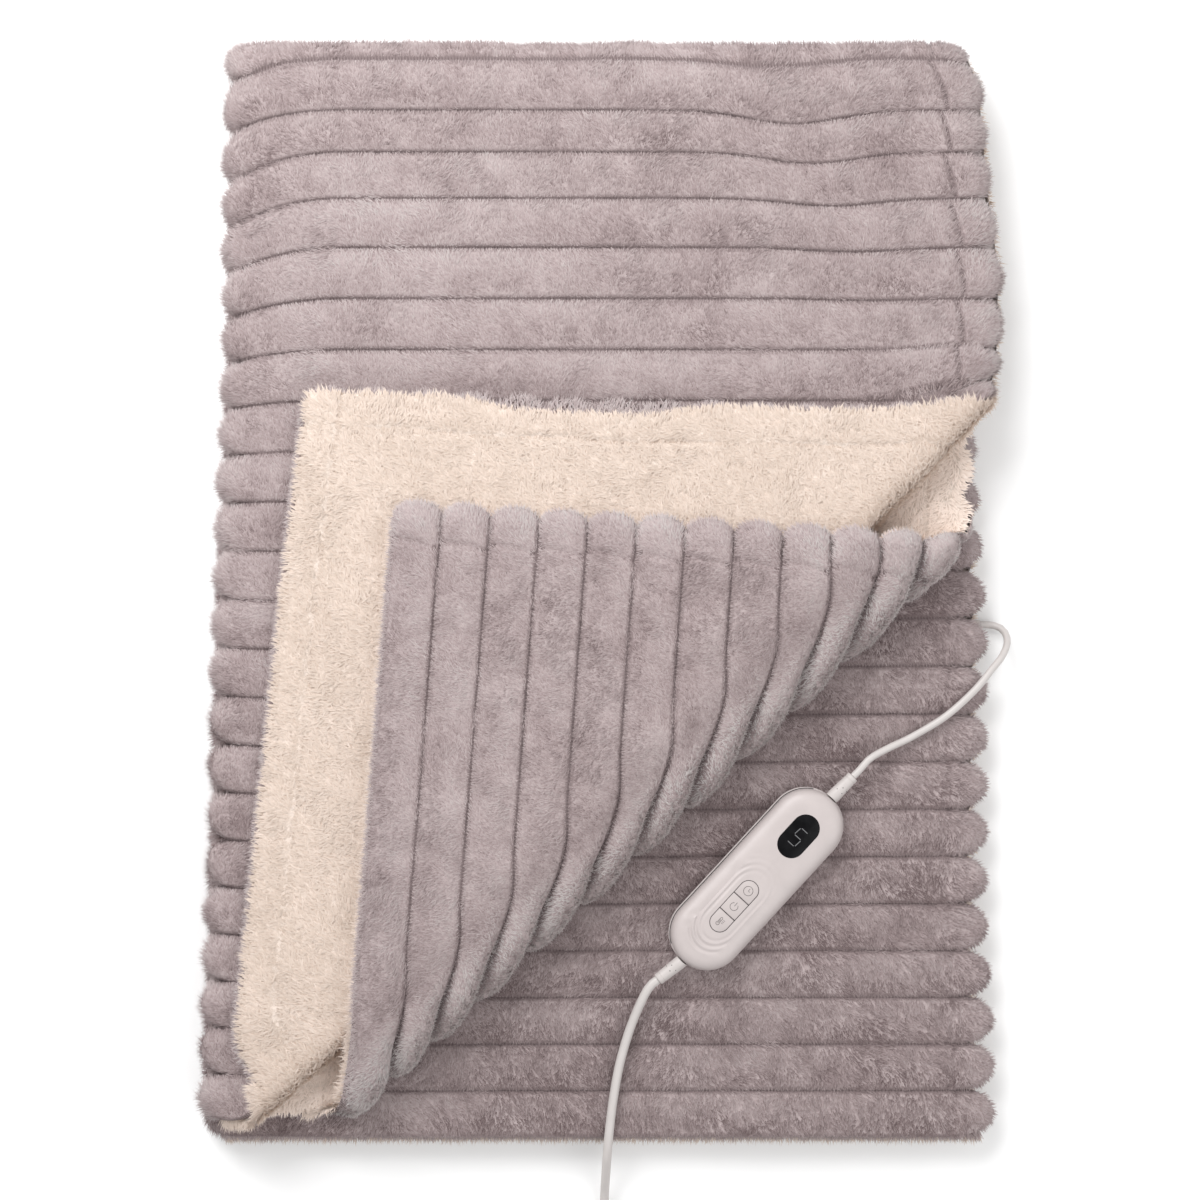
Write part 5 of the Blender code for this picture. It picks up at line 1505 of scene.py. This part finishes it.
GLAND_SHAPE = (
    (0.0, 0.0048), (0.0012, 0.0048), (0.0050, 0.0046), (0.0125, 0.0039), (0.0136, 0.0038), (0.0140, 0.0034),
)
PLUG_START = ((0.0, 0.0042, 0.0042), (0.0006, 0.0046, 0.0046))      # distance along, half width, half height
PLUG_RIB = (
    (0.0, 0.0047, 0.0046), (0.0004, 0.0040, 0.0040), (0.0014, 0.0040, 0.0040), (0.0018, 0.0048, 0.0047),
)
PLUG_BODY = (
    (0.0222, 0.0059, 0.0056), (0.0240, 0.0072, 0.0061), (0.0262, 0.0094, 0.0067), (0.0310, 0.0122, 0.0073),
    (0.0380, 0.0148, 0.0077), (0.0460, 0.0163, 0.0078), (0.0530, 0.0169, 0.0078), (0.0552, 0.0167, 0.0076),
    (0.0560, 0.0158, 0.0068),
)
PLUG_RIBS, PLUG_SIDES = 5, 40
PIN_SHAPE = ((0.0563, PIN_RADIUS), (0.0735, PIN_RADIUS), (0.0746, 0.0016), (0.0751, 0.0009), (0.0753, 0.0002))


def add_plug(fitting, steel):
    """A flat two-pin plug with a ribbed, tapered strain relief."""
    rows = list(PLUG_START)
    for k in range(PLUG_RIBS):
        start, grow = 0.0030 + 0.0038 * k, 0.0010 * k / 4
        rows += [(start + x, width + grow, height + grow) for x, width, height in PLUG_RIB]
    rings = []
    for x, width, height in (*rows, *PLUG_BODY):
        power = 0.62 if width > 0.007 else 1.0
        ring = []
        for _, c, s in round_ring(x, 1.0, PLUG_SIDES):
            y, z = math.copysign(abs(c) ** power, c), math.copysign(abs(s) ** power, s)
            ring.append((x, width * y, height * z))
        rings.append(ring)
    place = Matrix.Translation((PLUG_X, TAIL_Y, PLUG_Z))
    plug = loft("plug_moulding", rings, fitting, place)
    replace(plug, "plug_body")
    pieces = [plug]
    for node, side in (("plug_pin_left", 1), ("plug_pin_right", -1)):
        pin_place = place @ Matrix.Translation((0.0, side * PIN_SPACING / 2, 0.0))
        pin = loft(node + "_turned", [round_ring(x, r, 24) for x, r in PIN_SHAPE], steel, pin_place)
        replace(pin, node)
        pieces.append(pin)
    return pieces


def add_leads():
    cord = shell_material("cord", (0.53, 0.495, 0.48), 1500.0, 0.40)
    fitting = shell_material("fitting", (0.52, 0.48, 0.465), 2200.0, 0.5)
    # Near black for the dimples: painted shade in the small holes.
    hole_shade = print_material("dimple", (0.02, 0.02, 0.02))
    add_relief("relief_mains_side", -1, MAINS_RELIEF_TURN, fitting, hole_shade)
    add_relief("relief_blanket_side", 1, THIN_RELIEF_TURN, fitting, hole_shade)
    gland = loft("gland_sleeve", [round_ring(x, r, 32) for x, r in GLAND_SHAPE], fitting,
                 Matrix.Translation((GLAND_X, GLAND_Y, GLAND_Z)))
    replace(gland, "hem_gland")
    thin_path = smooth_route(THIN_ROUTE, 0.006)
    thin = tube("thin_cord", thin_path, THIN_DIAMETER, cord)
    replace(thin, "blanket_lead")
    plug = add_plug(fitting, steel_material())
    start = smooth_route(MAINS_ROUTE, 0.007)
    mains_path = smooth_route([*map(tuple, start), *coil_points(), *TAIL_ROUTE], 0.0055)
    mains = tube("mains_cord", mains_path, MAINS_DIAMETER, cord)
    replace(mains, "mains_lead")
    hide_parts("mains_coil", "mains_tail")


# ================================================================ dressing
def dressed(piece):
    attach(piece, "root")
    return piece


def replace(piece, node):
    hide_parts(node)
    return dressed(piece)


HAIR_STOPS = ((0.0, PLUSH_DARK), (0.4, PLUSH_MID), (0.7, PLUSH_LIGHT), (1.0, PLUSH_GREY))
TUFT_STOPS = ((0.0, SHERPA_DARK), (0.5, SHERPA_MID), (1.0, SHERPA_LIGHT))
HAIR_ROOT_SHADE, TUFT_SHADE = (0.64, 0.61, 0.61), (0.90, 0.87, 0.84)      # painted shade at the roots, against the tips


def add_throw():
    plush, sherpa = plush_surface(), sherpa_surface()

    def plush_edge(u, v):
        return plush_place(u, v, PLUSH_W + 0.0002, 0.001)

    def sherpa_edge(u, v):
        return sherpa_place(u, v, JOIN_W - 0.0001)

    face = cloth_piece("plush_ground", plush, plush_edge, plush_material())
    back = cloth_piece("sherpa_ground", sherpa, sherpa_edge, sherpa_material())
    replace(face, "plush_face")
    replace(back, "sherpa_back")
    tree = tree_of(face, back)
    pile = []
    hair = pile_material("plush_pile", HAIR_ROOT_SHADE, *HAIR_STOPS)
    seen = exposure(plush, tree)
    pile = [add_plush_pile(plush, seen, part, hair) for part in range(PILE_PARTS)]
    pile += [add_fringe(hair), *(add_end_fringe(hair, fur_height, *row) for row in FUR_FRINGES)]
    curls = pile_material("sherpa_pile", TUFT_SHADE, *TUFT_STOPS)
    tufts = [add_sherpa_tufts(sherpa, exposure(sherpa, tree), curls)]
    tufts += [add_end_fringe(curls, fleece_height, *row) for row in FLEECE_FRINGES]
    for piece in pile:
        dressed(piece)
    for piece in tufts:
        dressed(piece)


# ================================================================ stage
CAMERA_X, CAMERA_Y, CAMERA_Z = 0.0004, -0.0092, 2.40
CAMERA_LENS, CAMERA_SENSOR = 85.0, 36.0
LIGHTS = (                     # name, size, power, place
    ("key_light", 1.7, 76.0, (-1.0, 1.7, 1.9)),
    ("fill_light", 2.6, 30.0, (1.8, -0.9, 2.3)),
)
ROOM_LIGHT = 0.69


def add_stage():
    bpy.ops.mesh.primitive_plane_add(size=12.0, location=(0.0, 0.0, -0.0004))
    floor = bpy.context.object
    floor.name = "floor"
    floor.data.materials.append(floor_material())
    lens = bpy.data.cameras.new("camera")
    lens.lens = CAMERA_LENS
    lens.sensor_width = CAMERA_SENSOR
    lens.clip_end = 50.0
    camera = linked("camera", lens)
    camera.location = (CAMERA_X, CAMERA_Y, CAMERA_Z)
    bpy.context.scene.camera = camera
    for name, size, power, place in LIGHTS:
        light = bpy.data.lights.new(name, "AREA")
        light.size = size
        light.energy = power
        lamp = linked(name, light)
        lamp.location = place
        lamp.rotation_euler = (-Vector(place)).to_track_quat("-Z", "Y").to_euler()
    world = bpy.data.worlds.new("studio")
    world.use_nodes = True
    world.node_tree.nodes["Background"].inputs["Color"].default_value = (*WHITE, 1.0)
    world.node_tree.nodes["Background"].inputs["Strength"].default_value = ROOM_LIGHT
    bpy.context.scene.world = world
    bpy.context.scene.view_settings.view_transform = "Standard"


def main():
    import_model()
    add_stage()
    add_leads()
    housing = shell_material("housing", SHELL_COLOUR)
    # Dark ribbons for the controller's gaps: painted shade.
    groove_shade = print_material("key_groove_shade", (0.06, 0.05, 0.05))
    for node, piece in add_shells(housing, groove_shade).items():
        replace(piece, node)
    add_controls(groove_shade, lens_material())
    add_throw()


main()
